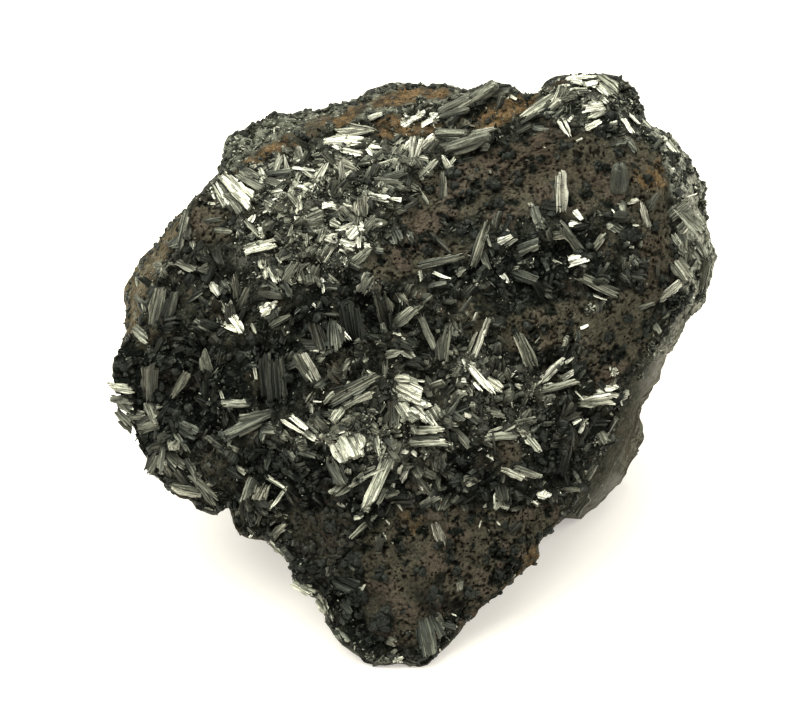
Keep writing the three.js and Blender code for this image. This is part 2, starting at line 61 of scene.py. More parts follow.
OUTLINE = [
    (221, 172, -10), (222, 160, -11), (225, 143, -13), (230, 137, -14), (238, 131, -14), (245, 131, -14),
    (250, 125, -14), (258, 121, -15), (266, 116, -15), (272, 111, -15), (280, 113, -15), (290, 113, -15),
    (300, 110, -16), (308, 108, -16), (318, 109, -16), (325, 109, -16), (332, 104, -16), (340, 102, -16),
    (350, 101, -16), (358, 99, -17), (363, 95, -17), (372, 90, -18), (380, 87, -18), (390, 85, -18),
    (400, 85, -18), (410, 85, -18), (420, 84, -18), (432, 84, -18), (445, 82, -18), (455, 87, -17),
    (465, 90, -15), (475, 88, -14), (485, 86, -13), (496, 86, -12), (503, 87, -12), (508, 88, -12),
    (514, 88, -11), (520, 92, -10), (530, 94, -9), (540, 91, -9), (548, 84, -9), (556, 79, -9),
    (566, 76, -9), (578, 74, -9), (590, 73, -9), (600, 73, -9), (610, 74, -9), (620, 76, -9),
    (628, 78, -9), (634, 82, -8), (638, 88, -8), (639, 95, -8), (642, 103, -8), (644, 112, -8),
    (645, 120, -8), (650, 127, -8), (658, 130, -8), (666, 133, -9), (672, 136, -9), (678, 141, -9),
    (683, 149, -9), (688, 156, -10), (692, 165, -10), (698, 172, -11), (702, 180, -11), (707, 184, -12),
    (706, 192, -12), (704, 202, -12), (707, 212, -12), (709, 222, -12), (712, 233, -12), (711, 243, -12),
    (713, 255, -12), (713, 265, -12), (711, 275, -12), (708, 285, -11), (706, 295, -10), (703, 303, -9),
    (696, 310, -8), (688, 316, -8), (684, 322, -8), (682, 332, -8), (678, 340, -8), (672, 349, -9),
    (666, 354, -9), (663, 365, -11), (658, 380, -13), (652, 392, -15), (645, 402, -17), (641, 415, -18),
    (643, 428, -19), (642, 438, -20), (638, 445, -21), (634, 452, -21), (632, 460, -22), (628, 470, -22),
    (622, 481, -23), (615, 490, -23), (606, 500, -24), (598, 507, -24), (590, 513, -24), (582, 520, -23),
    (575, 519, -20), (565, 520, -14), (556, 524, -9), (549, 532, -6), (547, 536, -5), (541, 541, -4),
    (539, 545, -4), (540, 550, -3), (539, 558, -3), (536, 563, -3), (530, 568, -3), (522, 573, -2),
    (512, 581, -2), (505, 588, -2), (497, 597, -2), (488, 603, -2), (480, 609, -1), (474, 614, -1),
    (466, 622, -1), (460, 631, -1), (452, 639, -1), (445, 646, -1), (440, 652, -1), (434, 658, -1),
    (428, 664, -1), (420, 667, -1), (412, 665, -1), (400, 664, -1), (385, 665, -1), (375, 664, -1),
    (365, 663, -1), (361, 658, -1), (357, 652, -1), (350, 648, -1), (342, 643, -1), (336, 638, -1),
    (333, 631, -1), (326, 622, -2), (324, 610, -2), (318, 600, -2), (312, 596, -2), (300, 590, -2),
    (293, 583, -2), (291, 577, -2), (290, 571, -3), (292, 566, -3), (290, 561, -3), (284, 553, -3),
    (275, 548, -3), (268, 541, -3), (258, 539, -3), (248, 537, -3), (240, 534, -3), (236, 528, -3),
    (234, 520, -3), (232, 512, -4), (229, 506, -4), (222, 508, -4), (214, 513, -5), (206, 511, -5),
    (198, 507, -5), (194, 500, -5), (188, 498, -5), (180, 497, -5), (172, 492, -5), (165, 487, -5),
    (164, 480, -5), (160, 479, -5), (153, 476, -5), (150, 468, -5), (147, 460, -6), (144, 455, -6),
    (136, 454, -6), (129, 450, -6), (133, 440, -6), (131, 430, -6), (127, 420, -6), (121, 412, -6),
    (118, 402, -5), (110, 400, -5), (112, 394, -5), (102, 389, -5), (97, 386, -5), (100, 378, -5),
    (106, 374, -5), (104, 366, -5), (108, 358, -5), (116, 354, -5), (119, 345, -6), (122, 340, -7),
    (128, 330, -9), (125, 325, -10), (125, 315, -11), (125, 300, -12), (126, 290, -12), (131, 280, -13),
    (135, 270, -13), (140, 261, -13), (148, 252, -13), (156, 244, -13), (162, 234, -13), (168, 224, -12),
    (174, 219, -11), (178, 215, -10), (186, 210, -9), (190, 202, -9), (196, 196, -9), (206, 190, -9),
    (212, 183, -9), (217, 176, -9),
]
FACE_EDGE = [
    (222, 175), (240, 168), (270, 152), (300, 140), (330, 128), (370, 118), (400, 112), (440, 104),
    (470, 94), (500, 90), (520, 97), (535, 98), (550, 91), (575, 83), (600, 81), (622, 85), (633, 95),
    (637, 108), (640, 121), (650, 133), (664, 146), (672, 165), (678, 190), (680, 215), (682, 240),
    (684, 262), (686, 285), (680, 305), (668, 325), (655, 345), (640, 362), (626, 378), (620, 400),
    (612, 420), (602, 442), (592, 465), (580, 487), (570, 505), (558, 520), (547, 533), (539, 543),
    (537, 553), (532, 563), (520, 571), (504, 586), (488, 600), (472, 612), (463, 622), (449, 639),
    (437, 652), (426, 662), (400, 661), (367, 660), (351, 646), (337, 634), (328, 619), (320, 600),
    (302, 588), (294, 572), (287, 554), (269, 539), (249, 534), (238, 522), (231, 508), (214, 510),
    (199, 503), (180, 494), (167, 483), (153, 471), (147, 456), (132, 447), (135, 435), (123, 412),
    (113, 396), (100, 386), (109, 368), (119, 352), (131, 335), (142, 322), (146, 300), (155, 280),
    (165, 262), (174, 240), (184, 215), (200, 196), (212, 185),
]
RELIEF = [
    (230, 178, -5), (270, 155, -7), (300, 142, -8), (350, 125, -9), (400, 114, -10), (440, 106, -10),
    (475, 95, -9), (500, 92, -8), (535, 100, -7), (575, 84, -6), (622, 86, -6), (640, 120, -5.5),
    (664, 145, -4.5), (678, 190, -3.5), (682, 240, -3), (686, 285, -3.5), (668, 325, -4), (640, 362, -4),
    (620, 400, -3.5), (602, 442, -4), (580, 487, -4.5), (558, 520, -4), (538, 550, -3), (504, 587, -2),
    (464, 622, -1), (428, 660, -0.5), (365, 660, -0.5), (328, 620, -1.5), (292, 572, -2), (248, 535, -2.5),
    (214, 511, -4), (166, 484, -4.5), (131, 447, -5), (100, 386, -4.5), (118, 352, -4), (142, 322, -3),
    (155, 280, -3), (174, 240, -3.5), (200, 195, -4.5), (260, 200, -2), (300, 190, -2.5), (340, 165, -5),
    (400, 160, -5), (440, 150, -5.5), (470, 170, -5), (520, 140, -4.5), (560, 130, -3.5), (600, 110, -3.5),
    (620, 150, -2.5), (560, 190, -2), (640, 210, -1.5), (500, 200, -3), (430, 200, -3), (370, 200, -1),
    (320, 230, 0.5), (260, 250, 0.5), (200, 250, -1.5), (200, 310, 0), (250, 310, 2), (310, 300, 3),
    (370, 260, 1.5), (420, 260, 0.5), (480, 250, -0.5), (540, 260, -0.5), (600, 270, 0), (640, 290, -1),
    (400, 320, 3), (460, 320, 2), (520, 320, 1), (580, 340, 0.5), (630, 330, -1.5), (150, 360, -2),
    (200, 380, 0), (260, 370, 3), (320, 370, 4), (380, 380, 4.5), (440, 380, 3), (500, 380, 2),
    (560, 380, 1), (600, 390, -0.5), (160, 430, -2.5), (210, 450, -0.5), (270, 440, 2), (330, 440, 4),
    (400, 440, 4.5), (460, 440, 2.5), (520, 440, 1), (570, 450, -0.5), (230, 490, -1), (280, 500, 1),
    (340, 500, 2.5), (390, 490, 3), (440, 490, 1.5), (500, 490, 0), (550, 490, -1.5), (320, 550, 0),
    (380, 560, 1), (440, 550, 1), (500, 550, 0), (360, 610, 0.5), (410, 610, 1), (450, 600, 0.5),
    (400, 645, 0.8),
]
FRACTURES = [
    (0.05, 0.1, -1.0, 35.0), (0.55, 0.15, -0.82, 40.0), (-0.62, 0.12, -0.78, 36.5), (0.1, 0.72, -0.69, 41.0),
    (-0.45, 0.6, -0.66, 39.5), (0.5, 0.58, -0.64, 43.5), (0.82, 0.22, -0.53, 48.3), (-0.86, -0.28, -0.43, 37.0),
    (-0.7, 0.62, -0.35, 41.5),
]
# name, foot x, y, free end x, y, width, lean, blades, fan, turn towards the top, as in the frame
SHEAVES = [
    ("crystal_fan_upper_left", 220, 178, 257, 205, 20, 16, 4, 20, 28),
    ("crystal_blade_left_rim", 178, 253, 187, 210, 8, 6, 2, 4, 20),
    ("crystal_sheaf_left_shoulder", 246, 251, 278, 243, 12, 22, 3, 10, 22),
    ("crystal_blade_left_bright", 222, 303, 246, 334, 10, 19, 2, 3, 28),
    ("crystal_sheaf_left_dark", 152, 322, 168, 287, 14, 19, 3, 8, 0),
    ("crystal_sheaf_crest_upper", 447, 116, 497, 86, 16, 5, 3, 5, 12),
    ("crystal_sheaf_crest_lower", 447, 148, 491, 139, 14, 16, 3, 8, 12),
    ("crystal_blade_crest_pale", 555, 99, 520, 121, 12, 13, 2, 5, 18),
    ("crystal_blade_knob_twin", 556, 114, 570, 139, 8, 19, 2, 3, 26),
    ("crystal_sheaf_knob_bright", 603, 107, 581, 118, 15, 16, 3, 14, 28),
    ("crystal_blade_knob_right", 621, 116, 634, 135, 9, 16, 2, 5, 26),
    ("crystal_fan_knob_top", 599, 84, 616, 102, 13, 13, 3, 14, 22),
    ("crystal_sheaf_right_tall", 560, 211, 560, 169, 14, 16, 3, 3, 26),
    ("crystal_sheaf_right_dark", 619, 191, 620, 161, 15, 26, 3, 8, 0),
    ("crystal_needles_right", 648, 228, 640, 198, 7, 19, 2, 8, 24),
    ("crystal_blade_pale_upper_centre", 443, 198, 443, 173, 8, 19, 2, 3, 14),
    ("crystal_blade_long_upper_centre", 472, 265, 487, 219, 11, 13, 2, 3, 14),
    ("crystal_blade_curved_right", 580, 250, 557, 221, 9, 13, 2, 4, 14),
    ("crystal_sheaf_right_long", 615, 294, 574, 275, 13, 13, 3, 8, 14),
    ("crystal_sheaf_right_rim", 661, 299, 682, 283, 10, 16, 3, 10, 28),
    ("crystal_sheaf_shelf", 421, 266, 468, 254, 11, 6, 2, 4, 10),
    ("crystal_sheaf_centre_upper", 396, 325, 424, 301, 11, 19, 2, 7, 16),
    ("crystal_blade_centre_pale", 471, 356, 486, 320, 11, 19, 2, 5, 20),
    ("crystal_sheaf_centre_grey", 532, 367, 518, 332, 14, 19, 3, 5, 14),
    ("crystal_blade_centre_bright", 498, 394, 470, 369, 12, 19, 2, 6, 28),
    ("crystal_blade_right_cream_upper", 543, 380, 564, 361, 9, 19, 2, 4, 26),
    ("crystal_blade_right_cream_lower", 541, 392, 585, 381, 9, 13, 2, 5, 20),
    ("crystal_sheaf_right_low_bright", 579, 403, 620, 393, 15, 16, 3, 9, 26),
    ("crystal_blade_low_pale", 516, 431, 485, 437, 12, 19, 2, 3, 22),
    ("crystal_blade_low_small", 523, 432, 540, 452, 8, 19, 2, 3, 20),
    ("crystal_sheaf_low_split", 413, 439, 450, 440, 15, 16, 3, 3, 18),
    ("crystal_sheaf_heart_bright", 423, 401, 399, 376, 21, 22, 4, 10, 28),
    ("crystal_sheaf_left_point", 130, 389, 102, 386, 12, 6, 3, 4, 26),
    ("crystal_blade_left_upper", 211, 375, 198, 348, 12, 22, 2, 3, 18),
    ("crystal_columns_left_centre", 276, 395, 271, 351, 22, 16, 4, 5, 2),
    ("crystal_blade_centre_left_bright", 323, 385, 300, 349, 10, 19, 2, 3, 28),
    ("crystal_sheaf_centre_long", 335, 401, 379, 377, 12, 16, 3, 5, 6),
    ("crystal_blade_low_left", 249, 404, 220, 404, 8, 19, 2, 3, 22),
    ("crystal_fan_low_left", 272, 412, 222, 436, 16, 13, 3, 9, 10),
    ("crystal_sheaf_heart_low", 361, 442, 330, 456, 16, 19, 3, 6, 24),
    ("crystal_fan_left_rim", 200, 492, 171, 487, 13, 6, 3, 14, 18),
    ("crystal_fan_lower_left", 253, 520, 267, 479, 14, 13, 3, 8, 20),
    ("crystal_blade_lower_centre", 352, 480, 330, 498, 12, 19, 2, 4, 14),
    ("crystal_blade_lower_long", 389, 465, 364, 510, 13, 16, 2, 4, 18),
    ("crystal_blade_lower_arrow", 377, 514, 350, 539, 7, 13, 2, 4, 20),
    ("crystal_fan_bottom", 425, 613, 436, 650, 18, 10, 3, 12, 12),
]

EX = np.array([1.0, 0.0, 0.0])
EY = np.array([0.0, math.sin(LEAN), math.cos(LEAN)])
EZ = np.array([0.0, -math.cos(LEAN), math.sin(LEAN)])
MIDDLE = np.array([-ORIGIN[0], -ORIGIN[1], HEIGHT])


def local(x, y, depth):
    """Drawing position and depth to millimetres along the display face's own axes."""
    s = (EYE - depth) / EYE * UNIT
    return np.stack([(x - CENTRE[0]) * s, (CENTRE[1] - y) * s, depth + 0 * s], -1)


def standing(p):
    """The display face's own axes to the row frame, in millimetres."""
    p = np.asarray(p, float)
    return p[..., 0:1] * EX + p[..., 1:2] * EY + p[..., 2:3] * EZ + MIDDLE


def drawn(q):
    """A point of the row frame, in millimetres, back to its drawing position and depth."""
    d = np.asarray(q, float) - MIDDLE
    u, v, w = d @ EX, d @ EY, d @ EZ
    s = (EYE - w) / EYE * UNIT
    return CENTRE[0] + u / s, CENTRE[1] - v / s, w


def _hash(i, j, k):
    m = 0xFFFFFFFF
    h = ((i & m) * 374761393 & m) + ((j & m) * 668265263 & m) + ((k & m) * 1274126177 & m)
    h &= m
    h = ((h ^ (h >> 13)) & m) * 1274126177 & m
    return ((h ^ (h >> 16)) & m) / 2147483648.0 - 1.0


def noise(x, y, z):
    """Smooth value noise from -1 to 1, the same as the frame's."""
    x, y, z = np.broadcast_arrays(np.asarray(x, float), np.asarray(y, float), np.asarray(z, float))
    i, j, k = (np.floor(a).astype(np.int64) for a in (x, y, z))
    f = lambda t: t * t * (3 - 2 * t)
    u, v, w = f(x - i), f(y - j), f(z - k)
    def row(dj, dk):
        a, b = _hash(i, j + dj, k + dk), _hash(i + 1, j + dj, k + dk)
        return a + (b - a) * u
    a = row(0, 0); a = a + (row(1, 0) - a) * v
    b = row(0, 1); b = b + (row(1, 1) - b) * v
    return a + (b - a) * w


def thin_plate(samples):
    s = np.array(samples, float)
    k = 0.01
    at = s[:, :2] * k
    n = len(s)
    def kernel(d2):
        return np.where(d2 < 1e-12, 0.0, d2 * np.log(np.maximum(d2, 1e-12)) * 0.5)
    d2 = ((at[:, None] - at[None]) ** 2).sum(-1)
    a = np.zeros((n + 3, n + 3))
    a[:n, :n] = kernel(d2) + 0.02 * np.eye(n)
    a[:n, n] = a[n, :n] = 1
    a[:n, n + 1:] = at
    a[n + 1:, :n] = at.T
    w = np.linalg.solve(a, np.concatenate([s[:, 2], np.zeros(3)]))
    def value(x, y):
        shape = np.shape(x)
        u, v = np.ravel(x) * k, np.ravel(y) * k
        out = w[n] + w[n + 1] * u + w[n + 2] * v
        for c in range(0, len(u), 8192):
            uu, vv = u[c:c + 8192], v[c:c + 8192]
            out[c:c + 8192] += kernel((at[:, 0][None] - uu[:, None]) ** 2 + (at[:, 1][None] - vv[:, None]) ** 2) @ w[:n]
        return out.reshape(shape)
    return value


broad = thin_plate(RELIEF)


def relief(x, y):
    x, y = np.asarray(x, float), np.asarray(y, float)
    return broad(x, y) + 0.8 * noise(x / 58, y / 58, 3.3) + 0.45 * noise(x / 31, y / 31, 8.7)


def ray_table(points, count=7200):
    """Furthest crossing of an outline with rays from the pole, and its depth, every 0.05 degrees."""
    p = np.array([q if len(q) == 3 else (*q, 0) for q in points], float)
    q = np.roll(p, -1, 0)
    ang = np.arange(count) * 2 * math.pi / count
    dx, dy = np.cos(ang)[:, None], -np.sin(ang)[:, None]
    ax, ay = (p[:, 0] - RADIAL[0])[None], (p[:, 1] - RADIAL[1])[None]
    ex, ey = (q[:, 0] - p[:, 0])[None], (q[:, 1] - p[:, 1])[None]
    det = dx * -ey + ex * dy
    det = np.where(np.abs(det) < 1e-12, 1e-12, det)
    r = (ax * -ey + ex * ay) / det
    t = (dx * ay - dy * ax) / det
    ok = (t >= -1e-9) & (t <= 1 + 1e-9) & (r > 0)
    r = np.where(ok, r, -1)
    best = r.argmax(1)
    at = np.arange(count)
    depth = p[best, 2] + (q[best, 2] - p[best, 2]) * t[at, best]
    return r[at, best], depth


def look_up(table, ang):
    n = len(table)
    f = np.mod(ang, 2 * math.pi) / (2 * math.pi) * n
    i = np.floor(f).astype(int) % n
    t = f - np.floor(f)
    return table[i] * (1 - t) + table[(i + 1) % n] * t


FACE_R, _ = ray_table(FACE_EDGE)
OUT_R, OUT_W = ray_table(OUTLINE)
smooth = lambda t: t * t * (3 - 2 * t)


def clamp01(t):
    return np.clip(t, 0, 1)


# ------------------------------------------------------------------ zones of the display face
def inside(poly, x, y, soft=6.0):
    """How far inside a drawn outline a position is: 0 outside, 1 inside, soft over that many units."""
    p = np.array(poly, float)
    q = np.roll(p, -1, 0)
    out = np.zeros(np.shape(x))
    x0, x1 = p[:, 0].min() - 2 * soft, p[:, 0].max() + 2 * soft
    y0, y1 = p[:, 1].min() - 2 * soft, p[:, 1].max() + 2 * soft
    near = (x > x0) & (x < x1) & (y > y0) & (y < y1)
    if not near.any():
        return out
    u, v = x[near], y[near]
    d2 = np.full(u.shape, 1e12)
    odd = np.zeros(u.shape, bool)
    for (ax, ay), (bx, by) in zip(p, q):
        ex, ey = bx - ax, by - ay
        t = clamp01(((u - ax) * ex + (v - ay) * ey) / max(ex * ex + ey * ey, 1e-9))
        d2 = np.minimum(d2, (u - ax - t * ex) ** 2 + (v - ay - t * ey) ** 2)
        if by != ay:
            cross = ((ay > v) != (by > v)) & (u < ex * (v - ay) / (by - ay) + ax)
            odd ^= cross
    d = np.sqrt(d2) * np.where(odd, 1, -1)
    out[near] = smooth(clamp01(0.5 + d / (2 * soft)))
    return out


CRUST = [
    [(405, 185), (432, 172), (462, 162), (492, 150), (528, 138), (545, 126), (580, 135), (612, 140), (640, 140),
     (660, 158), (670, 192), (668, 232), (655, 262), (640, 250), (628, 225), (600, 205), (577, 222), (545, 203),
     (520, 212), (500, 228), (482, 215), (455, 222), (430, 212), (410, 200)],
    [(358, 266), (375, 250), (400, 240), (425, 232), (447, 238), (470, 250), (455, 262), (430, 268), (400, 280),
     (370, 284), (356, 278)],
    [(498, 335), (512, 312), (545, 303), (580, 300), (620, 296), (650, 290), (668, 300), (664, 325), (645, 352),
     (624, 372), (602, 388), (585, 372), (590, 350), (560, 345), (530, 350), (508, 352)],
    [(640, 215), (668, 205), (680, 240), (684, 275), (668, 300), (645, 292), (640, 255)],
    [(372, 530), (400, 508), (430, 497), (470, 505), (500, 512), (540, 505), (562, 505), (556, 525), (540, 545),
     (530, 562), (505, 585), (478, 605), (455, 628), (430, 645), (395, 645), (372, 630), (360, 600), (352, 570),
     (360, 545)],
    [(300, 515), (330, 510), (350, 520), (345, 550), (325, 570), (300, 560), (292, 540)],
    [(192, 203), (220, 195), (232, 215), (228, 240), (205, 246), (188, 236)],
    [(455, 300), (480, 295), (495, 312), (488, 330), (468, 335), (455, 320)],
    [(135, 330), (152, 326), (157, 340), (146, 352), (136, 345)],
    [(495, 436), (520, 440), (518, 458), (498, 460)],
    [(405, 205), (440, 212), (450, 232), (420, 236), (402, 224)],
]
OCHRE = [
    [(228, 174), (245, 161), (262, 151), (285, 141), (300, 136), (302, 145), (280, 153), (262, 163), (245, 174)],
    [(296, 134), (315, 121), (335, 112), (358, 104), (368, 108), (360, 118), (335, 125), (310, 138)],
    [(368, 101), (390, 91), (420, 88), (448, 88), (450, 97), (420, 101), (390, 105), (372, 108)],
    [(372, 122), (390, 114), (420, 118), (440, 125), (432, 136), (405, 136), (380, 136)],
    [(470, 130), (478, 112), (500, 99), (520, 94), (550, 91), (540, 104), (520, 116), (498, 129), (480, 137)],
    [(500, 586), (512, 565), (530, 548), (543, 545), (540, 562), (522, 576), (508, 590)],
    [(400, 515), (422, 512), (430, 528), (412, 534), (398, 528)],
    [(632, 168), (660, 160), (668, 185), (645, 195), (632, 185)],
]
TAN = [(118, 338), (116, 300), (124, 276), (132, 258), (145, 242), (160, 224), (178, 208), (186, 220), (178, 240),
       (168, 260), (158, 282), (148, 304), (141, 330)]
SILVER = [
    [(206, 172), (240, 158), (272, 166), (272, 214), (228, 222), (214, 206)],
    [(450, 330), (500, 345), (540, 380), (560, 420), (520, 450), (470, 430), (450, 380)],
    [(530, 96), (548, 84), (572, 76), (606, 74), (636, 80), (650, 110), (650, 136), (632, 144), (606, 134), (580, 126), (558, 108)],
    [(252, 160), (300, 148), (340, 140), (400, 135), (440, 140), (430, 160), (405, 175), (408, 205), (385, 235),
     (362, 262), (330, 285), (285, 290), (245, 280), (232, 250), (238, 210), (225, 185)],
    [(555, 95), (600, 78), (632, 88), (640, 120), (620, 138), (590, 130), (560, 115)],
    [(395, 370), (430, 378), (450, 430), (455, 448), (420, 470), (370, 470), (330, 462), (285, 440), (310, 418),
     (370, 410)],
]
SOOT = [
    [(345, 590), (372, 584), (398, 600), (400, 640), (372, 652), (350, 640), (335, 615)],
    [(410, 585), (445, 585), (448, 612), (420, 615)],
    [(290, 556), (318, 553), (342, 560), (340, 580), (315, 584), (294, 574)],
    [(294, 512), (330, 508), (352, 520), (347, 552), (325, 566), (298, 562), (290, 540)],
    [(598, 114), (620, 116), (620, 132), (602, 134)],
    [(105, 392), (118, 350), (150, 330), (210, 340), (250, 365), (255, 400), (240, 430), (215, 455), (180, 455),
     (150, 440), (125, 420)],
    [(240, 440), (290, 440), (320, 452), (345, 472), (400, 482), (425, 500), (380, 528), (330, 522), (290, 505),
     (245, 500)],
    [(290, 555), (330, 570), (350, 590), (345, 615), (325, 605), (296, 580)],
    [(440, 450), (470, 440), (500, 455), (500, 490), (470, 500), (445, 480)],
    [(300, 290), (345, 280), (400, 295), (400, 330), (350, 345), (300, 330)],
    [(438, 262), (480, 262), (540, 240), (600, 240), (612, 262), (600, 300), (540, 300), (500, 302), (450, 292)],
    [(515, 356), (545, 354), (560, 366), (535, 378), (516, 370)],
    [(540, 415), (585, 410), (600, 430), (580, 470), (550, 480), (530, 460)],
    [(240, 345), (300, 345), (310, 380), (290, 410), (250, 400)],
]
BAND = [(218, 178), (222, 143), (250, 120), (300, 104), (360, 94), (400, 80), (482, 80), (470, 97), (440, 103),
        (400, 112), (370, 118), (330, 128), (300, 140), (270, 152), (240, 168)]
RIM = [(648, 124), (695, 150), (712, 185), (718, 255), (708, 300), (690, 320), (684, 285), (684, 250), (678, 205),
       (668, 165)]
RIM_FOOT = [(690, 316), (672, 352), (654, 358), (648, 344), (662, 320), (680, 304)]
# dark rounded knobs on the crust: x, y, radius
KNOBS = [
    (452, 172, 8), (493, 185, 9), (507, 152, 7), (560, 146, 6), (430, 252, 6), (520, 307, 7), (636, 270, 8),
    (585, 190, 5), (600, 165, 6), (655, 225, 5), (648, 178, 5), (470, 195, 6), (520, 175, 5), (540, 160, 5),
    (500, 205, 6), (628, 318, 5), (610, 338, 6), (570, 322, 5), (545, 330, 5), (655, 318, 5), (430, 190, 5),
    (470, 520, 4), (505, 525, 5), (450, 545, 4), (486, 560, 4), (420, 570, 6), (440, 600, 6), (383, 620, 13),
    (520, 540, 4), (402, 548, 5), (465, 590, 4), (380, 575, 7), (330, 528, 7), (312, 548, 7), (345, 540, 6),
    (104, 366, 6), (108, 358, 6), (103, 379, 6), (102, 387, 5), (108, 373, 5), (131, 447, 6), (134, 440, 5), (137, 451, 4),
    (681, 178, 7), (674, 268, 8), (676, 248, 6), (640, 266, 7), (638, 284, 7), (647, 327, 7), (612, 120, 9), (618, 212, 8), (630, 232, 9),
    (358, 598, 9), (436, 596, 9), (439, 545, 5), (450, 557, 5), (515, 550, 5), (500, 574, 5), (457, 572, 6), (468, 593, 6), (310, 568, 9), (355, 562, 9),
    (620, 152, 5), (577, 160, 4), (676, 255, 4), (664, 282, 6), (640, 238, 5), (515, 330, 4), (640, 340, 4),
]


def zones(x, y):
    """Weights of the display face's surface kinds at drawing positions."""
    wx = x + 5.0 * noise(x / 17, y / 17, 1.5) + 2.6 * noise(x / 6.5, y / 6.5, 4.5)
    wy = y + 5.0 * noise(x / 17, y / 17, 9.5) + 2.6 * noise(x / 6.5, y / 6.5, 14.5)
    z = {}
    z["rim"] = np.maximum(inside(RIM, wx, wy, 5.0), 0.45 * inside(RIM_FOOT, wx, wy, 6.0))
    z["crust"] = np.max([inside(p, wx, wy, 3.0) for p in CRUST], 0) * (1 - z["rim"])
    z["ochre"] = np.max([inside(p, wx, wy, 3.5) for p in OCHRE], 0)
    z["silver"] = np.max([inside(p, wx, wy, 14.0) for p in SILVER], 0)
    z["soot"] = np.max([inside(p, wx, wy, 12.0) for p in SOOT], 0)
    z["band"] = inside(BAND, wx, wy, 4.0)
    z["tan"] = inside(TAN, wx, wy, 4.0)
    knob = np.zeros(np.shape(x))
    for kx, ky, kr in KNOBS:
        d = np.hypot(wx * 0.6 + x * 0.4 - kx, wy * 0.6 + y * 0.4 - ky) / kr
        knob = np.maximum(knob, np.sqrt(clamp01(1 - d * d)))
    z["knob"] = knob
    return z


def worley(x, y, seed, jitter=0.9):
    """Distance to the nearest of one scattered point per unit cell, and that cell's own number."""
    i, j = np.floor(x).astype(np.int64), np.floor(y).astype(np.int64)
    best = np.full(np.shape(x), 9.0)
    mark = np.zeros(np.shape(x))
    for di in (-1, 0, 1):
        for dj in (-1, 0, 1):
            a, b = i + di, j + dj
            px = a + 0.5 + 0.5 * jitter * _hash(a, b, np.int64(seed) + 0 * a)
            py = b + 0.5 + 0.5 * jitter * _hash(a, b, np.int64(seed + 77) + 0 * a)
            d = np.hypot(x - px, y - py)
            new = d < best
            best = np.where(new, d, best)
            mark = np.where(new, _hash(a, b, np.int64(seed + 191) + 0 * a), mark)
    return best, mark


def facets(p, size, seed, slope, step):
    """Broken facets: every cell of scattered points carries its own tilted plane. Also the distance to the point."""
    q = p / size
    base = np.floor(q).astype(np.int64)
    best = np.full(len(p), 9.0)
    out = np.zeros(len(p))
    for di in (-1, 0, 1):
        for dj in (-1, 0, 1):
            for dk in (-1, 0, 1):
                i, j, k = base[:, 0] + di, base[:, 1] + dj, base[:, 2] + dk
                h = [_hash(i, j, k + seed + 13 * m) for m in range(7)]
                d = [q[:, 0] - i - 0.5 - 0.42 * h[0], q[:, 1] - j - 0.5 - 0.42 * h[1], q[:, 2] - k - 0.5 - 0.42 * h[2]]
                far = np.sqrt(d[0] ** 2 + d[1] ** 2 + d[2] ** 2)
                plane = (d[0] * h[3] + d[1] * h[4] + d[2] * h[5]) * slope * size + h[6] * step
                new = far < best
                best = np.where(new, far, best)
                out = np.where(new, plane, out)
    return out, best


# ------------------------------------------------------------------ mesh helpers
def make_mesh(name, verts, tris, attrs=None, uv=None, smooth_faces=False):
    """A closed triangle mesh object in metres from millimetres."""
    me = bpy.data.meshes.new(name)
    v = np.ascontiguousarray(verts, np.float32) * np.float32(0.001)
    t = np.ascontiguousarray(tris, np.int32)
    me.vertices.add(len(v))
    me.vertices.foreach_set("co", v.ravel())
    me.loops.add(t.size)
    me.loops.foreach_set("vertex_index", t.ravel())
    me.polygons.add(len(t))
    me.polygons.foreach_set("loop_start", np.arange(0, t.size, 3, dtype=np.int32))
    me.polygons.foreach_set("loop_total", np.full(len(t), 3, np.int32))
    me.update(calc_edges=True)
    for key, val in (attrs or {}).items():
        val = np.asarray(val, np.float32)
        if val.ndim == 1:
            a = me.attributes.new(key, "FLOAT", "POINT")
            a.data.foreach_set("value", val)
        else:
            a = me.attributes.new(key, "FLOAT_COLOR", "POINT")
            rgba = np.ones((len(val), 4), np.float32)
            rgba[:, :3] = val
            a.data.foreach_set("color", rgba.ravel())
    if uv is not None:
        layer = me.uv_layers.new(name="OFBake")
        layer.data.foreach_set("uv", np.ascontiguousarray(uv, np.float32).ravel())
    me.polygons.foreach_set("use_smooth", np.full(len(t), smooth_faces, bool))
    me.update()
    me.validate()
    ob = bpy.data.objects.new(name, me)
    bpy.context.scene.collection.objects.link(ob)
    return ob


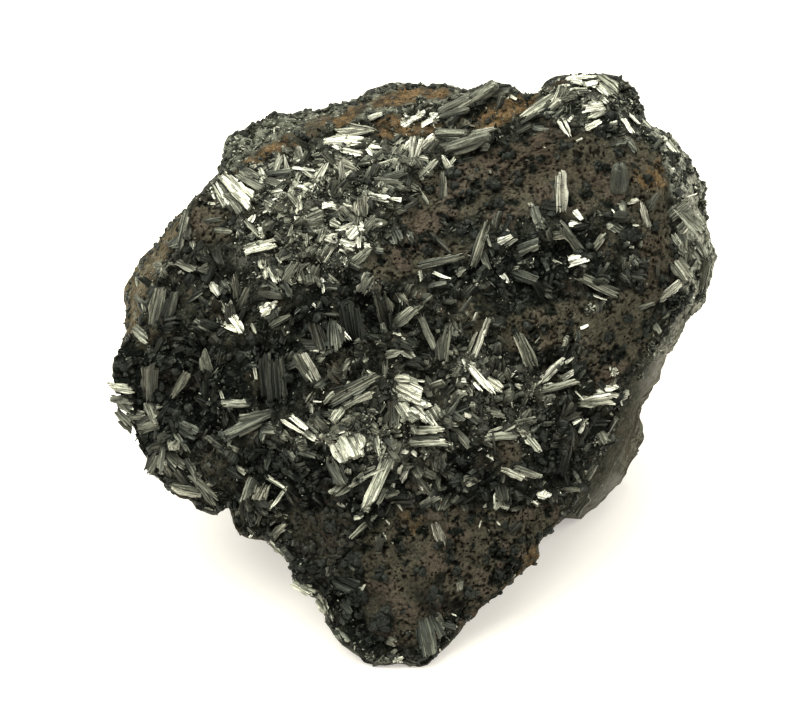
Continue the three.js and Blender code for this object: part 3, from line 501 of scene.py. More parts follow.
def icosphere(n):
    """Unit icosphere with each face split into n * n: vertices and triangles."""
    g = (1 + 5 ** 0.5) / 2
    base = np.array([(-1, g, 0), (1, g, 0), (-1, -g, 0), (1, -g, 0), (0, -1, g), (0, 1, g), (0, -1, -g), (0, 1, -g),
                     (g, 0, -1), (g, 0, 1), (-g, 0, -1), (-g, 0, 1)], float)
    base /= np.linalg.norm(base[0])
    f = [(0, 11, 5), (0, 5, 1), (0, 1, 7), (0, 7, 10), (0, 10, 11), (1, 5, 9), (5, 11, 4), (11, 10, 2), (10, 7, 6),
         (7, 1, 8), (3, 9, 4), (3, 4, 2), (3, 2, 6), (3, 6, 8), (3, 8, 9), (4, 9, 5), (2, 4, 11), (6, 2, 10),
         (8, 6, 7), (9, 8, 1)]
    vs, ts, off = [], [], 0
    ij = [(i, j) for i in range(n + 1) for j in range(n + 1 - i)]
    num = {p: k for k, p in enumerate(ij)}
    w = np.array([((n - i - j), i, j) for i, j in ij], float) / n
    tri = []
    for i in range(n):
        for j in range(n - i):
            tri.append((num[i, j], num[i + 1, j], num[i, j + 1]))
            if i + j < n - 1:
                tri.append((num[i + 1, j], num[i + 1, j + 1], num[i, j + 1]))
    tri = np.array(tri)
    for a, b, c in f:
        vs.append(w @ base[[a, b, c]])
        ts.append(tri + off)
        off += len(ij)
    v = np.concatenate(vs)
    v /= np.linalg.norm(v, axis=1, keepdims=True)
    t = np.concatenate(ts)
    key = np.round(v * 1e6).astype(np.int64)
    _, first, inv = np.unique(key, axis=0, return_index=True, return_inverse=True)
    inv = inv.ravel()
    return v[first], inv[t]


# ------------------------------------------------------------------ the lump
def shape(d):
    """Drawing position, height over the display plane and ring angle of directions on the unit sphere."""
    ang = np.arctan2(d[:, 1], d[:, 0])
    phi = np.arccos(np.clip(d[:, 2], -1, 1))
    fine = np.array([0, *RINGS, math.pi])
    coarse = np.array([0, *CAD_RINGS, math.pi])
    # within the two caps equal areas go to equal areas, between the rings angles go evenly
    cad = np.interp(phi, fine, coarse)
    face = phi <= RINGS[0]
    kf = np.sqrt((1 - np.cos(np.minimum(phi, RINGS[0]))) / (1 - math.cos(RINGS[0])))
    back = phi > RINGS[3]
    kb = np.sqrt((1 + np.cos(np.maximum(phi, RINGS[3]))) / (1 + math.cos(RINGS[3])))
    rf = look_up(FACE_R, ang)
    rs, ws = look_up(OUT_R, ang), look_up(OUT_W, ang)
    c, s = np.cos(ang), np.sin(ang)
    back_share = 0.8 + 0.05 * np.sin(2 * ang + 0.6) + 0.03 * np.sin(5 * ang)
    back_depth = BACK + 2.5 * np.sin(3 * ang + 1.1)
    wf = relief(RADIAL[0] + rf * c, RADIAL[1] - rf * s)
    w1 = np.minimum(ws, wf)
    fx, fy = RADIAL[0] + kf * rf * c, RADIAL[1] - kf * rf * s
    fw = relief(fx, fy)
    k1 = clamp01((cad - CAD_RINGS[0]) / (CAD_RINGS[1] - CAD_RINGS[0]))
    k2 = clamp01((cad - CAD_RINGS[1]) / (CAD_RINGS[2] - CAD_RINGS[1]))
    k3 = clamp01((cad - CAD_RINGS[2]) / (CAD_RINGS[3] - CAD_RINGS[2]))
    r = np.where(face, kf * rf,
        np.where(k2 <= 0, rf + (rs - rf) * k1 ** 0.85,
        np.where(k3 <= 0, rs * (1 - 0.05 * smooth(k2)),
        np.where(~back, rs * (0.95 + (back_share - 0.95) * k3 ** 1.4), rs * back_share * kb))))
    w = np.where(face, fw,
        np.where(k2 <= 0, wf + (w1 - wf) * k1 ** 1.15,
        np.where(k3 <= 0, w1 + ((w1 + back_depth) / 2 - w1) * k2,
        np.where(~back, (w1 + back_depth) / 2 + (back_depth - (w1 + back_depth) / 2) * k3 ** 0.9,
                 back_depth - 4 * (1 - kb * kb)))))
    return RADIAL[0] + r * c, RADIAL[1] - r * s, w, cad, phi, ang


def refine(d, tris, mark):
    """Split the marked triangles in four, and their neighbours so that no gap opens."""
    e = np.sort(np.concatenate([tris[:, [0, 1]], tris[:, [1, 2]], tris[:, [2, 0]]]), 1).astype(np.int64)
    key, inv = np.unique(e[:, 0] * len(d) + e[:, 1], return_inverse=True)
    inv = inv.reshape(3, -1).T
    cut = np.zeros(len(key), bool)
    cut[inv[mark].ravel()] = True
    while True:
        two = cut[inv].sum(1) == 2
        if not two.any():
            break
        cut[inv[two].ravel()] = True
    number = np.full(len(key), -1)
    number[cut] = len(d) + np.arange(cut.sum())
    mids = d[key[cut] // len(d)] + d[key[cut] % len(d)]
    mids /= np.linalg.norm(mids, axis=1, keepdims=True)
    m = number[inv]
    parts = (m >= 0).sum(1)
    out = [tris[parts == 0]]
    t, q = tris[parts == 3], m[parts == 3]
    for a, b, c in ((t[:, 0], q[:, 0], q[:, 2]), (q[:, 0], t[:, 1], q[:, 1]), (q[:, 2], q[:, 1], t[:, 2]), (q[:, 0], q[:, 1], q[:, 2])):
        out.append(np.stack([a, b, c], -1))
    for k in range(3):
        one = (parts == 1) & (m[:, k] >= 0)
        t, q = tris[one], m[one, k]
        out.append(np.stack([t[:, k], q, t[:, (k + 2) % 3]], -1))
        out.append(np.stack([q, t[:, (k + 1) % 3], t[:, (k + 2) % 3]], -1))
    return np.concatenate([d, mids]), np.concatenate(out)


def crust_height(x, y):
    """Relief of the brown crust in millimetres, how deep in a pore a position is, and how sooty it is."""
    rough = noise(x / 24, y / 24, 21.2) * 0.34 + noise(x / 11, y / 11, 5.2) * 0.26
    chip, num = worley((x + 4 * noise(x / 9, y / 9, 71.5)) / 23.0, (y + 4 * noise(x / 9, y / 9, 72.5)) / 23.0, 35)
    step = 0.34 * num + 0.5 * (0.45 - np.minimum(chip, 0.7) ** 2)
    grain, gn = worley((x + 0.9 * noise(x / 3, y / 3, 73.5)) / 3.4, y / 3.4, 36)
    grain2, _ = worley(x / 6.4, (y + 1.5 * noise(x / 5, y / 5, 74.5)) / 6.4, 37)
    grainy = 0.15 * (0.5 - grain) * (1.2 + gn) + 0.16 * (0.5 - grain2)
    dense = clamp01(0.55 + 0.9 * noise(x / 28, y / 28, 53.2))
    p1 = noise(x / 2.6 + 0.5 * noise(x / 4, y / 4, 61.2), y / 2.4, 51.2) + 0.45 * noise(x / 6.5, y / 5.5, 52.2)
    pore = smooth(clamp01((p1 - 0.50 + 0.28 * dense) / 0.22))
    slit = noise(x / 7.0 + 0.8 * noise(x / 12, y / 12, 62.2), y / 7.0, 63.2)
    crack = smooth(clamp01(1 - np.abs(slit) / 0.08)) * smooth(clamp01(0.25 + 2 * noise(x / 19, y / 19, 64.2)))
    s1 = noise(x / 19, y / 17, 81.5) + 0.6 * noise(x / 7.5, y / 7.5, 82.5) + 0.3 * noise(x / 2.7, y / 2.7, 83.5)
    sooty = smooth(clamp01((s1 - 0.33) / 0.16))
    h = 0.24 + rough + step + grainy - 0.36 * pore - 0.42 * crack - 0.12 * sooty
    h = h + sooty * (0.26 * noise(x / 4.6, y / 4.6, 84.5) + 0.14 * noise(x / 2.2, y / 2.2, 85.5))
    return h, clamp01(pore + crack), sooty, num


def build_lump():
    d, tris = icosphere(88)
    x, y, w, cad, phi, ang = shape(d)
    cx, cy, cc = x[tris].mean(1), y[tris].mean(1), cad[tris].mean(1)
    cp = phi[tris].mean(1)
    crusty = np.max([inside(p, cx, cy, 9.0) for p in CRUST + OCHRE], 0) > 0.04
    low = standing(local(x, y, w))[:, 2][tris].mean(1) < 5.0
    d, tris = refine(d, tris, np.where(cp <= RINGS[0], crusty & (cp < RINGS[0]), ~low & (cp < RINGS[2])))
    x, y, w, cad, phi, ang = shape(d)
    p = local(x, y, w)
    hidden = smooth(clamp01((cad - CAD_RINGS[1]) / (16 * DEG)))
    out = p + np.array([0, 0, 18.0])
    out /= np.linalg.norm(out, axis=1, keepdims=True)
    lump = 1.5 * noise(p[:, 0] / 13 + 7, p[:, 1] / 13, p[:, 2] / 13) + 0.8 * noise(p[:, 0] / 5.5, p[:, 1] / 5.5 + 3, p[:, 2] / 5.5)
    p = p + out * ((lump - 0.9) * hidden)[:, None]
    for nx, ny, nz, dist in FRACTURES:
        nn = np.array([nx, ny, nz]); nn = nn / np.linalg.norm(nn)
        over = np.maximum(p @ nn - dist, 0)
        p = p - 0.92 * over[:, None] * nn

    # ---- fine surface
    z = zones(x, y)
    z["crust"] = z["crust"] * (1 - 0.5 * z["soot"])
    # past the outline the kinds of surface known from the front give way to plain broken ore
    behind = clamp01((cad - CAD_RINGS[1]) / (20 * DEG))
    ragged = 0.5 * noise(p[:, 0] / 4.5 + 3, p[:, 1] / 4.5, p[:, 2] / 4.5) + 0.3 * noise(p[:, 0] / 1.6, p[:, 1] / 1.6 + 5, p[:, 2] / 1.6)
    reach = 1 - smooth(clamp01((behind + ragged * clamp01(behind * 4) - 0.30) / 0.16))
    for kind in ("ochre", "band", "tan", "rim"):
        z[kind] = z[kind] * reach
    sideness = smooth(clamp01((cad - CAD_RINGS[0] * 0.985) / (CAD_RINGS[1] - CAD_RINGS[0])))
    facing = 1 - sideness
    ochre, band, rim = z["ochre"], z["band"], z["rim"]
    h, pore, sooty, chip = crust_height(x, y)
    # ground between the crystals: rubbly, with deep gaps and a brown coat in places
    rough = noise(x / 24, y / 24, 21.2) * 0.5 + noise(x / 11, y / 11, 5.2) * 0.38
    hole, mh = worley(x / 15.0, y / 15.0, 31)
    hole2, mh2 = worley(x / 7.5, y / 7.5, 32)
    ground = (rough * 1.1 + 0.55 * (0.5 - hole) * (1 + mh) + 0.34 * (0.5 - hole2) * (1.2 + mh2) + noise(x / 4.5, y / 4.5, 7.7) * 0.22
              + noise(x / 2.2, y / 2.2, 17.7) * 0.12)
    ground -= 0.9 * z["soot"] * clamp01(noise(x / 18, y / 18, 41.5) + 0.35)
    coat = 0.75 * smooth(clamp01((noise(x / 21, y / 21, 91.5) + 0.5 * noise(x / 8, y / 8, 92.5) + 0.3 * noise(x / 3.4, y / 3.4, 93.5) - 0.34) / 0.2))
    coat = coat * (1 - z["rim"]) * (1 - 0.5 * z["soot"]) * (1 - 0.6 * z["silver"]) * (1 - z["crust"])
    knob = z["knob"] * facing
    bumpy = 0.5 * knob * (noise(x / 4.2, y / 4.2, 87.5) + 0.5 * noise(x / 2.1, y / 2.1, 88.5))
    height = ground * (1 - z["crust"]) + h * z["crust"] + 0.15 * coat + knob * 0.7 + bumpy
    height = height * smooth(clamp01(facing * 1.2))
    # the sides: hackly broken rock
    q = p
    side = (0.60 * noise(q[:, 0] / 4.5, q[:, 1] / 4.5, q[:, 2] / 4.5) + 0.36 * noise(q[:, 0] / 2.1, q[:, 1] / 2.1, q[:, 2] / 2.1)
            + 0.20 * noise(q[:, 0] / 0.95, q[:, 1] / 0.95, q[:, 2] / 0.95) + 0.08 * noise(q[:, 0] / 0.5, q[:, 1] / 0.5, q[:, 2] / 0.5))
    # the broken face low on the right is smoother and runs in long streaks
    sleek = inside([(540, 545), (560, 500), (600, 440), (625, 380), (655, 340), (720, 330), (720, 560)], x, y, 16.0) * sideness
    u, v = p[:, 0] * 0.868 - p[:, 1] * 0.496, p[:, 0] * 0.496 + p[:, 1] * 0.868
    slick = (0.6 * noise(u / 1.5, v / 8, p[:, 2] / 3) + 0.4 * noise(u / 0.6, v / 3.4, p[:, 2] / 1.2) + 0.25 * noise(u / 0.28, v / 1.8, p[:, 2] / 0.5))
    side = side * (1 + 0.1 * sleek) + 0.26 * slick * sleek
    # hackly breaks on the sides that the photograph does not show, knobby grains in the granular bands
    part = cad > CAD_RINGS[1]
    hack = np.zeros(len(p))
    hack[part] = facets(p[part], 7.5, 401, 0.46, 0.45)[0] + facets(p[part], 3.0, 503, 0.50, 0.18)[0]
    # one break low on the right is worn down, so that it stays behind the outline
    spot = smooth(clamp01((np.linalg.norm(standing(p) - np.array([33.7, 4.2, 11.0]), axis=1) - 2.0) / 3.0))
    side = side + hack * smooth(clamp01((cad - CAD_RINGS[1]) / (14 * DEG))) * spot
    grainy = z["band"] > 0.02
    far = np.full(len(p), 0.5)
    # far is also kept as the deep attribute, which paints shade between the knobby grains
    far[grainy] = facets(p[grainy], 1.25, 605, 0, 0)[1]
    side = side + 0.9 * z["band"] * (0.22 - far)
    q0 = standing(p)
    nrm = vertex_normals(q0, tris)
    amp = np.where(rim > 0.5, 0.8, 0.66)
    q1 = q0 + EZ[None] * height[:, None] + nrm * (side * sideness * amp)[:, None]
    clear = clamp01((np.hypot(q1[:, 0] - FOOT[0], q1[:, 1] - FOOT[1]) - 8) / 4)
    tip = clamp01((q1[:, 1] + 31) / 6)
    rise = np.maximum(0, 2.6 * noise(q1[:, 0] / 9 + 2.3, q1[:, 1] / 9 + 5.1, 0.5) - 0.05) * smooth(clear) * smooth(tip)
    under = q1[:, 2] < rise
    q1[:, 2] = np.where(under, rise, q1[:, 2])
    n2 = vertex_normals(q1, tris)
    attrs = {
        "crust": clamp01(z["crust"] * facing + coat * facing), "ochre": ochre, "silver": z["silver"] * facing, "soot": z["soot"] * facing,
        "knob": clamp01(np.maximum(knob * 1.6, sooty * z["crust"] * facing)), "band": band * (1 - ochre), "tan": z["tan"], "rim": rim, "side": sideness, "streak": clamp01(0.5 + 0.5 * slick), "sleek": sleek,
        # painted shade: the pore mask, for the sunken pores and cracks of the crust, is painted near-black
        "pore": clamp01(pore * z["crust"] * facing), "chip": clamp01(chip), "deep": clamp01(far * 1.2) * grainy, "pale": np.maximum(inside([(630, 388), (640, 364), (655, 352), (666, 350), (658, 374), (642, 392)], x, y, 7.0),
                           0.55 * inside([(572, 512), (590, 486), (612, 472), (626, 478), (608, 500), (588, 518)], x, y, 8.0)) * sideness,
        # painted shade: the lower the ground between the crystals, the nearer black it is painted
        "hollow": clamp01(-height * 1.1) * (1 - z["crust"]) * facing,
    }
    # bake map: the face in one disc, the rest in another
    rr_f = np.sqrt((1 - np.cos(phi)) / (1 - math.cos(RINGS[0])))
    rr_b = np.sqrt((1 + np.cos(phi)) / (1 + math.cos(RINGS[0])))
    uf = np.stack([0.5 + 0.485 * rr_f * np.cos(ang), 0.5 + 0.485 * rr_f * np.sin(ang)], -1)
    ub = np.stack([0.5 + 0.485 * rr_b * np.cos(ang), 0.5 + 0.485 * rr_b * np.sin(-ang)], -1)
    front = phi[tris].mean(1) <= RINGS[0]
    obs = []
    for name, mine, uv, inner in (("matrix_rock_face", front, uf, -9.0), ("matrix_rock_sides", ~front, ub, -11.0)):
        t = tris[mine]
        e = np.concatenate([t[:, [0, 1]], t[:, [1, 2]], t[:, [2, 0]]]).astype(np.int64)
        fwd, rev = e[:, 0] * len(d) + e[:, 1], e[:, 1] * len(d) + e[:, 0]
        rim_edges = e[~np.isin(fwd, rev)]
        heart = standing(local(np.array([RADIAL[0]]), np.array([RADIAL[1]]), np.array([inner])))
        lid = np.stack([rim_edges[:, 1], rim_edges[:, 0], np.full(len(rim_edges), len(d))], -1)
        used, inv = np.unique(np.concatenate([t.ravel(), lid.ravel()]), return_inverse=True)
        v = np.concatenate([q1, heart])[used]
        tt = inv.reshape(-1, 3)
        at = {k: np.append(a, 0.0)[used] for k, a in attrs.items()}
        uvs = np.concatenate([uv, [[0.99, 0.99]]])[used][tt]
        uvs[len(t):] = np.array([(0.985, 0.985), (0.995, 0.985), (0.99, 0.995)])
        ob = make_mesh(name, v, tt, at, uvs.reshape(-1, 2), smooth_faces=True)
        flags = np.ones(len(tt), bool)
        flags[len(t):] = False
        ob.data.polygons.foreach_set("use_smooth", flags)
        obs.append(ob)
    return obs, q1, tris, n2, attrs, (x, y), cad


def vertex_normals(v, t):
    a, b, c = v[t[:, 0]], v[t[:, 1]], v[t[:, 2]]
    n = np.cross(b - a, c - a)
    out = np.zeros_like(v)
    for k in range(3):
        for m in range(3):
            out[:, m] += np.bincount(t[:, k], n[:, m], len(v))
    return out / np.maximum(np.linalg.norm(out, axis=1, keepdims=True), 1e-12)


lumps, LV, LT, LN, LA, (LX, LY), LCAD = build_lump()
tree = BVHTree.FromPolygons([tuple(v) for v in LV.tolist()], [tuple(t) for t in LT.tolist()], all_triangles=True)
EYE_AT = MIDDLE + EZ * EYE


def land(x, y):
    """Where the sight line of a drawing position meets the lump: millimetres in the row frame, or None."""
    aim = standing(local(np.float64(x), np.float64(y), np.float64(0)))
    d = aim - EYE_AT
    hit, _, _, _ = tree.ray_cast(Vector(EYE_AT), Vector(d / np.linalg.norm(d)))
    return None if hit is None else np.array(hit)


# ------------------------------------------------------------------ crystals
def unit(v):
    return v / np.maximum(np.linalg.norm(v, axis=-1, keepdims=True), 1e-12)


def col(v, n):
    return np.broadcast_to(np.asarray(v, float), (n,))


class Pile:
    """Closed crystals gathered into one mesh, each with a cell of its own in the bake map."""
    def __init__(self):
        self.v, self.t, self.uv, self.cell, self.at = [], [], [], [], {}
        self.nv = self.nc = 0

    def add(self, vert, tri, uvt, **attrs):
        """vert (n, V, 3), one triangle list, its map within a cell, and attributes (n, V) or (n, V, 3)."""
        n, per = vert.shape[:2]
        tri = np.asarray(tri)
        # the first crystal says whether the list faces out
        c = vert[0].mean(0)
        p = vert[0][tri] - c
        if np.einsum("ij,ij->i", p[:, 0], np.cross(p[:, 1], p[:, 2])).sum() < 0:
            tri, uvt = tri[:, ::-1], np.asarray(uvt)[:, ::-1]
        self.v.append(vert.reshape(-1, 3))
        self.t.append((tri[None] + (np.arange(n) * per)[:, None, None] + self.nv).reshape(-1, 3))
        self.uv.append(np.broadcast_to(np.asarray(uvt, float), (n, *np.shape(uvt))).reshape(-1, 2))
        self.cell.append(np.repeat(np.arange(n) + self.nc, 3 * len(tri)))
        for k, a in attrs.items():
            self.at.setdefault(k, []).append(np.asarray(a, float).reshape(n * per, *np.shape(a)[2:]))
        self.nv += n * per
        self.nc += n

    def object(self, name):
        side = math.ceil(math.sqrt(self.nc))
        cell = np.concatenate(self.cell)
        uv = np.concatenate(self.uv)
        uv = np.stack([(cell % side + 0.06 + 0.88 * uv[:, 0]) / side, (cell // side + 0.06 + 0.88 * uv[:, 1]) / side], -1)
        at = {k: np.concatenate(a) for k, a in self.at.items()}
        at["tone"] = clamp01(at["tone"])
        return make_mesh(name, np.concatenate(self.v), np.concatenate(self.t), at, uv)


def plates(pile, rng, foot, axis, up, length, width, thick, tone, ribs=2, S=3, ragged=0.25, barrel=0.0, bend=0.0,
           ridge=0.35, taper=0.1, fan=0.0, crown=0.35, slant=0.0, streak=0.08, groove=0.24, rust=0.0, curl=0.0, foot_shade=0.14, shoulder=0.4):
    """Striated blades: fine ribs side by side on the broad side, each with its own torn end, and a few deep channels
    between ribs that die out along the blade. Painted shade: the channels are darker the deeper they are, the foot is
    darker than the free end, one side is darker than the other and the underside is darker. One row each."""
    n = len(length)
    if n == 0:
        return
    axis = unit(axis)
    up = unit(up - (up * axis).sum(-1, keepdims=True) * axis)
    across = np.cross(up, axis)
    g = lambda v: col(v, n)[:, None, None]
    # columns across the blade: two to a rib, one in each groove
    kind = np.array(([0, 0, 1] * ribs)[:-1])
    hand = np.array(([-1, 1, 0] * ribs)[:-1])
    rib = np.array([k // 3 for k in range(len(kind))])
    K = len(kind) - 1
    deep = np.where(rng.uniform(0, 1, (n, ribs)) < 0.16, rng.uniform(0.7, 1.25, (n, ribs)), rng.uniform(0.03, 0.3, (n, ribs)))
    wide = rng.uniform(0.5, 1.8, (n, ribs))
    gap = rng.uniform(0.05, 0.16, (n, ribs)) * (0.7 + deep)
    pos = np.zeros((n, K + 1))
    at = np.zeros(n)
    for k in range(K + 1):
        pos[:, k] = at
        if k < K:
            at = at + (wide[:, rib[k]] if kind[k] == 0 and kind[k + 1] == 0 else gap[:, min(rib[k], ribs - 1)])
    j = (pos / pos[:, -1:] * 2 - 1)[:, None, :] + np.zeros((n, S + 1, 1))
    s = (np.arange(S + 1) / S)[None, :, None] + np.zeros((n, 1, K + 1))
    s[:, 1:-1] += rng.uniform(-0.25, 0.25, (n, S - 1, 1)) / S
    live = clamp01(rng.uniform(0.3, 1.1, (n, 1, K + 1)) + rng.uniform(-0.6, 0.6, (n, 1, K + 1)) * (2 * s - 1))
    dk = kind * deep[:, rib][:, None, :] * live
    cut = rng.uniform(0, 1, (n, ribs)) ** 1.5
    cut = cut[:, rib] + rng.uniform(-0.10, 0.10, (n, K + 1)) + 0.3 * kind[None] * deep[:, rib]
    cut = cut + shoulder * rng.uniform(0, 1, (n, 1)) * np.abs(j[:, 0]) ** 3
    end = 1 - g(ragged) * cut[:, None, :]
    end = end - g(slant) * (j[:, :1] + 1) / 2 * g(width / np.maximum(length, 1e-9))
    start = rng.uniform(-0.05, 0.10, (n, 1, K + 1))
    x = (start + (np.clip(end, 0.35, 1.1) - start) * s) * length[:, None, None]
    belly = np.sin(math.pi * np.clip(0.12 + 0.88 * s, 0, 1))
    prof = np.maximum((1 - g(taper) * s) * (1 + g(barrel) * (belly - 1)) * (1 + g(fan) * (s - 0.5)), 0.06)
    y = width[:, None, None] / 2 * j * prof
    y = y + rng.normal(0, 0.018, (n, S + 1, 1)) * width[:, None, None] + g(curl) * length[:, None, None] * s * s
    y = y + rng.normal(0, 0.07, (n, S + 1, K + 1)) * width[:, None, None] * np.abs(j) ** 8
    rid = 0.75 * rng.uniform(-1, 1, (n, ribs))[:, rib][:, None, :] * (1 - kind) + 0.55 * rng.uniform(-1, 1, (n, ribs))[:, rib][:, None, :] * hand
    rid = rid - 0.25 * kind - 1.4 * dk + rng.uniform(-0.16, 0.16, (n, S + 1, K + 1))
    tz = thick[:, None, None] / 2
    z = tz * ((1 - g(crown) * j * j) * (1 - 0.3 * s * g(taper)) * (1 + 0.6 * g(barrel) * (belly - 1)) + g(ridge) * rid)
    bow = g(bend) * length[:, None, None] * (s * s - s * 0.2)
    zb = -tz * (1 - 0.45 * j * j) * (1 - 0.4 * s)
    z, zb = z + bow, zb + bow
    zb = np.minimum(zb, z - 0.25 * tz)
    top = foot[:, None, None] + x[..., None] * axis[:, None, None] + y[..., None] * across[:, None, None] + z[..., None] * up[:, None, None]
    low = foot[:, None, None] + x[..., None] * axis[:, None, None] + (y * 0.93)[..., None] * across[:, None, None] + zb[..., None] * up[:, None, None]
    edge = [(0, q) for q in range(K + 1)] + [(p, K) for p in range(1, S + 1)] + [(S, q) for q in range(K - 1, -1, -1)] + [(p, 0) for p in range(S - 1, 0, -1)]
    m = len(edge)
    ei, ej = np.array(edge).T
    lowe = low[:, ei, ej]
    vert = np.concatenate([top.reshape(n, -1, 3), lowe, lowe.mean(1, keepdims=True)], 1)
    idx = lambda p, q: p * (K + 1) + q
    nt = (S + 1) * (K + 1)
    tri, uvt = [], []
    tu = lambda p, q: (q / K, 0.38 + 0.62 * p / S)
    for p in range(S):
        for q in range(K):
            tri += [(idx(p, q), idx(p, q + 1), idx(p + 1, q + 1)), (idx(p, q), idx(p + 1, q + 1), idx(p + 1, q))]
            uvt += [(tu(p, q), tu(p, q + 1), tu(p + 1, q + 1)), (tu(p, q), tu(p + 1, q + 1), tu(p + 1, q))]
    for k in range(m):
        k2 = (k + 1) % m
        a, b2 = idx(*edge[k]), idx(*edge[k2])
        c, d = nt + k, nt + k2
        u0, u1 = k / m, (k + 1) / m
        tri += [(b2, a, c), (b2, c, d), (d, c, nt + m)]
        uvt += [((u1, 0.33), (u0, 0.33), (u0, 0.16)), ((u1, 0.33), (u0, 0.16), (u1, 0.16)), ((u1, 0.13), (u0, 0.13), ((u0 + u1) / 2, 0.0))]
    # painted shade: the channels between the ribs are darker the deeper they run
    tn = rng.normal(0, 1, (n, ribs))[:, rib][:, None, :] * g(streak) - g(groove) * (dk + 0.12 * kind)
    tn = tn + 0.07 * np.sin(rib[None] * rng.uniform(0.5, 1.4, (n, 1)) + rng.uniform(0, 6.3, (n, 1)))[:, None, :]
    # painted shade: the foot darker than the free end, and one side of the blade darker than the other
    tn = tn + g(foot_shade) * (s - 0.6) + rng.uniform(-0.07, 0.07, (n, 1, 1)) * j
    tn = col(tone, n)[:, None, None] + tn + rng.normal(0, 0.03, (n, S + 1, K + 1))
    # painted shade: the underside of each blade is a little darker
    tn = np.concatenate([tn.reshape(n, -1), tn[:, ei, ej] - 0.06, tn.mean((1, 2))[:, None]], 1)
    al = np.concatenate([s.reshape(n, -1), s[:, ei, ej], np.full((n, 1), 0.5)], 1)
    per = vert.shape[1]
    pile.add(vert, tri, uvt, tone=tn, along=al, seed=np.repeat(rng.uniform(0, 1, (n, 1)), per, 1), rust=np.repeat(col(rust, n)[:, None], per, 1),
             fibre=np.repeat((axis * 0.5 + 0.5)[:, None], per, 1))


def grains(pile, rng, foot, axis, up, length, width, thick, tone, sides=4, cut=0.6, rust=0.0):
    """Short stout crystals with an oblique end. One row each."""
    n = len(length)
    axis = unit(axis)
    up = unit(up - (up * axis).sum(-1, keepdims=True) * axis)
    across = np.cross(up, axis)
    m = sides
    th = (np.arange(m) + 0.5) / m * 2 * math.pi + rng.uniform(-0.3, 0.3, (n, m)) * (2 * math.pi / m)
    rad = rng.uniform(0.8, 1.15, (n, m))
    cy, cz = np.cos(th) * rad, np.sin(th) * rad
    thc = rng.uniform(0, 2 * math.pi, (n, 1))
    c = np.minimum(cut * (width / length)[:, None], 0.5)
    fr = 1 - c * (1 + np.cos(th - thc)) / 2
    def ring(f, k):
        return (foot[:, None] + (f * length[:, None])[..., None] * axis[:, None] + (cy * k * width[:, None] / 2)[..., None] * across[:, None]
                + (cz * k * thick[:, None] / 2)[..., None] * up[:, None])
    a, b = ring(np.zeros((n, m)), rng.uniform(0.8, 1.1, (n, 1))), ring(fr, rng.uniform(0.65, 1.0, (n, 1)))
    vert = np.concatenate([a, b], 1)
    tri, uvt = [], []
    for j in range(m):
        p, q = j, (j + 1) % m
        tri += [(p, q, q + m), (p, q + m, p + m)]
        u0, u1 = j / m, (j + 1) / m
        uvt += [((u0, 0.2), (u1, 0.2), (u1, 0.75)), ((u0, 0.2), (u1, 0.75), (u0, 0.75))]
    for j in range(1, m - 1):
        tri += [(m, m + j, m + j + 1), (0, j + 1, j)]
        uvt += [((0.1, 0.8), (0.1 + 0.8 * j / m, 1.0), (0.1 + 0.8 * (j + 1) / m, 0.8)), ((0.1, 0.0), (0.1 + 0.8 * (j + 1) / m, 0.15), (0.1 + 0.8 * j / m, 0.15))]
    tn = np.repeat(tone[:, None], 2 * m, 1) + rng.normal(0, 0.05, (n, 2 * m))
    al = np.concatenate([np.zeros((n, m)), fr], 1)
    pile.add(vert, tri, uvt, tone=tn, along=al, seed=np.repeat(rng.uniform(0, 1, (n, 1)), 2 * m, 1), rust=np.repeat(col(rust, n)[:, None], 2 * m, 1),
             fibre=np.repeat((axis * 0.5 + 0.5)[:, None], 2 * m, 1))


def knobs(pile, rng, pos, nrm, radius, flat, tone, n=3, rust=0.0):
    """Rounded sooty lumps with a rough skin."""
    d, t = icosphere(n)
    N = len(radius)
    a = unit(np.cross(nrm, unit(rng.normal(0, 1, (N, 3)))))
    b = np.cross(nrm, a)
    off = rng.uniform(-50, 50, (N, 1, 3))
    q = d[None] * 1.6 + off
    bump = 1 + 0.30 * noise(q[..., 0], q[..., 1], q[..., 2]) + 0.16 * noise(q[..., 0] * 2.6, q[..., 1] * 2.6, q[..., 2] * 2.6)
    r = radius[:, None] * bump
    sx = rng.uniform(0.8, 1.25, (N, 1))
    vert = pos[:, None] + (d[None, :, 0] * r * sx)[..., None] * a[:, None] + (d[None, :, 1] * r / sx)[..., None] * b[:, None] + (d[None, :, 2] * r * flat[:, None])[..., None] * nrm[:, None]
    ang, phi = np.arctan2(d[:, 1], d[:, 0]), np.arccos(np.clip(d[:, 2], -1, 1))
    up = phi[t].mean(1) < math.pi / 2
    rr = np.where(up[:, None], np.sqrt(1 - np.cos(phi[t])), np.sqrt(1 + np.cos(phi[t]))) * 0.20
    uv = np.stack([np.where(up[:, None], 0.24, 0.74) + rr * np.cos(ang[t]), 0.5 + rr * np.sin(ang[t])], -1)
    per = len(d)
    pile.add(vert, t, uv, tone=np.repeat(tone[:, None], per, 1) + rng.normal(0, 0.02, (N, per)), along=np.zeros((N, per)),
             seed=np.repeat(rng.uniform(0, 1, (N, 1)), per, 1), rust=np.full((N, per), rust), fibre=np.repeat((nrm * 0.5 + 0.5)[:, None], per, 1))


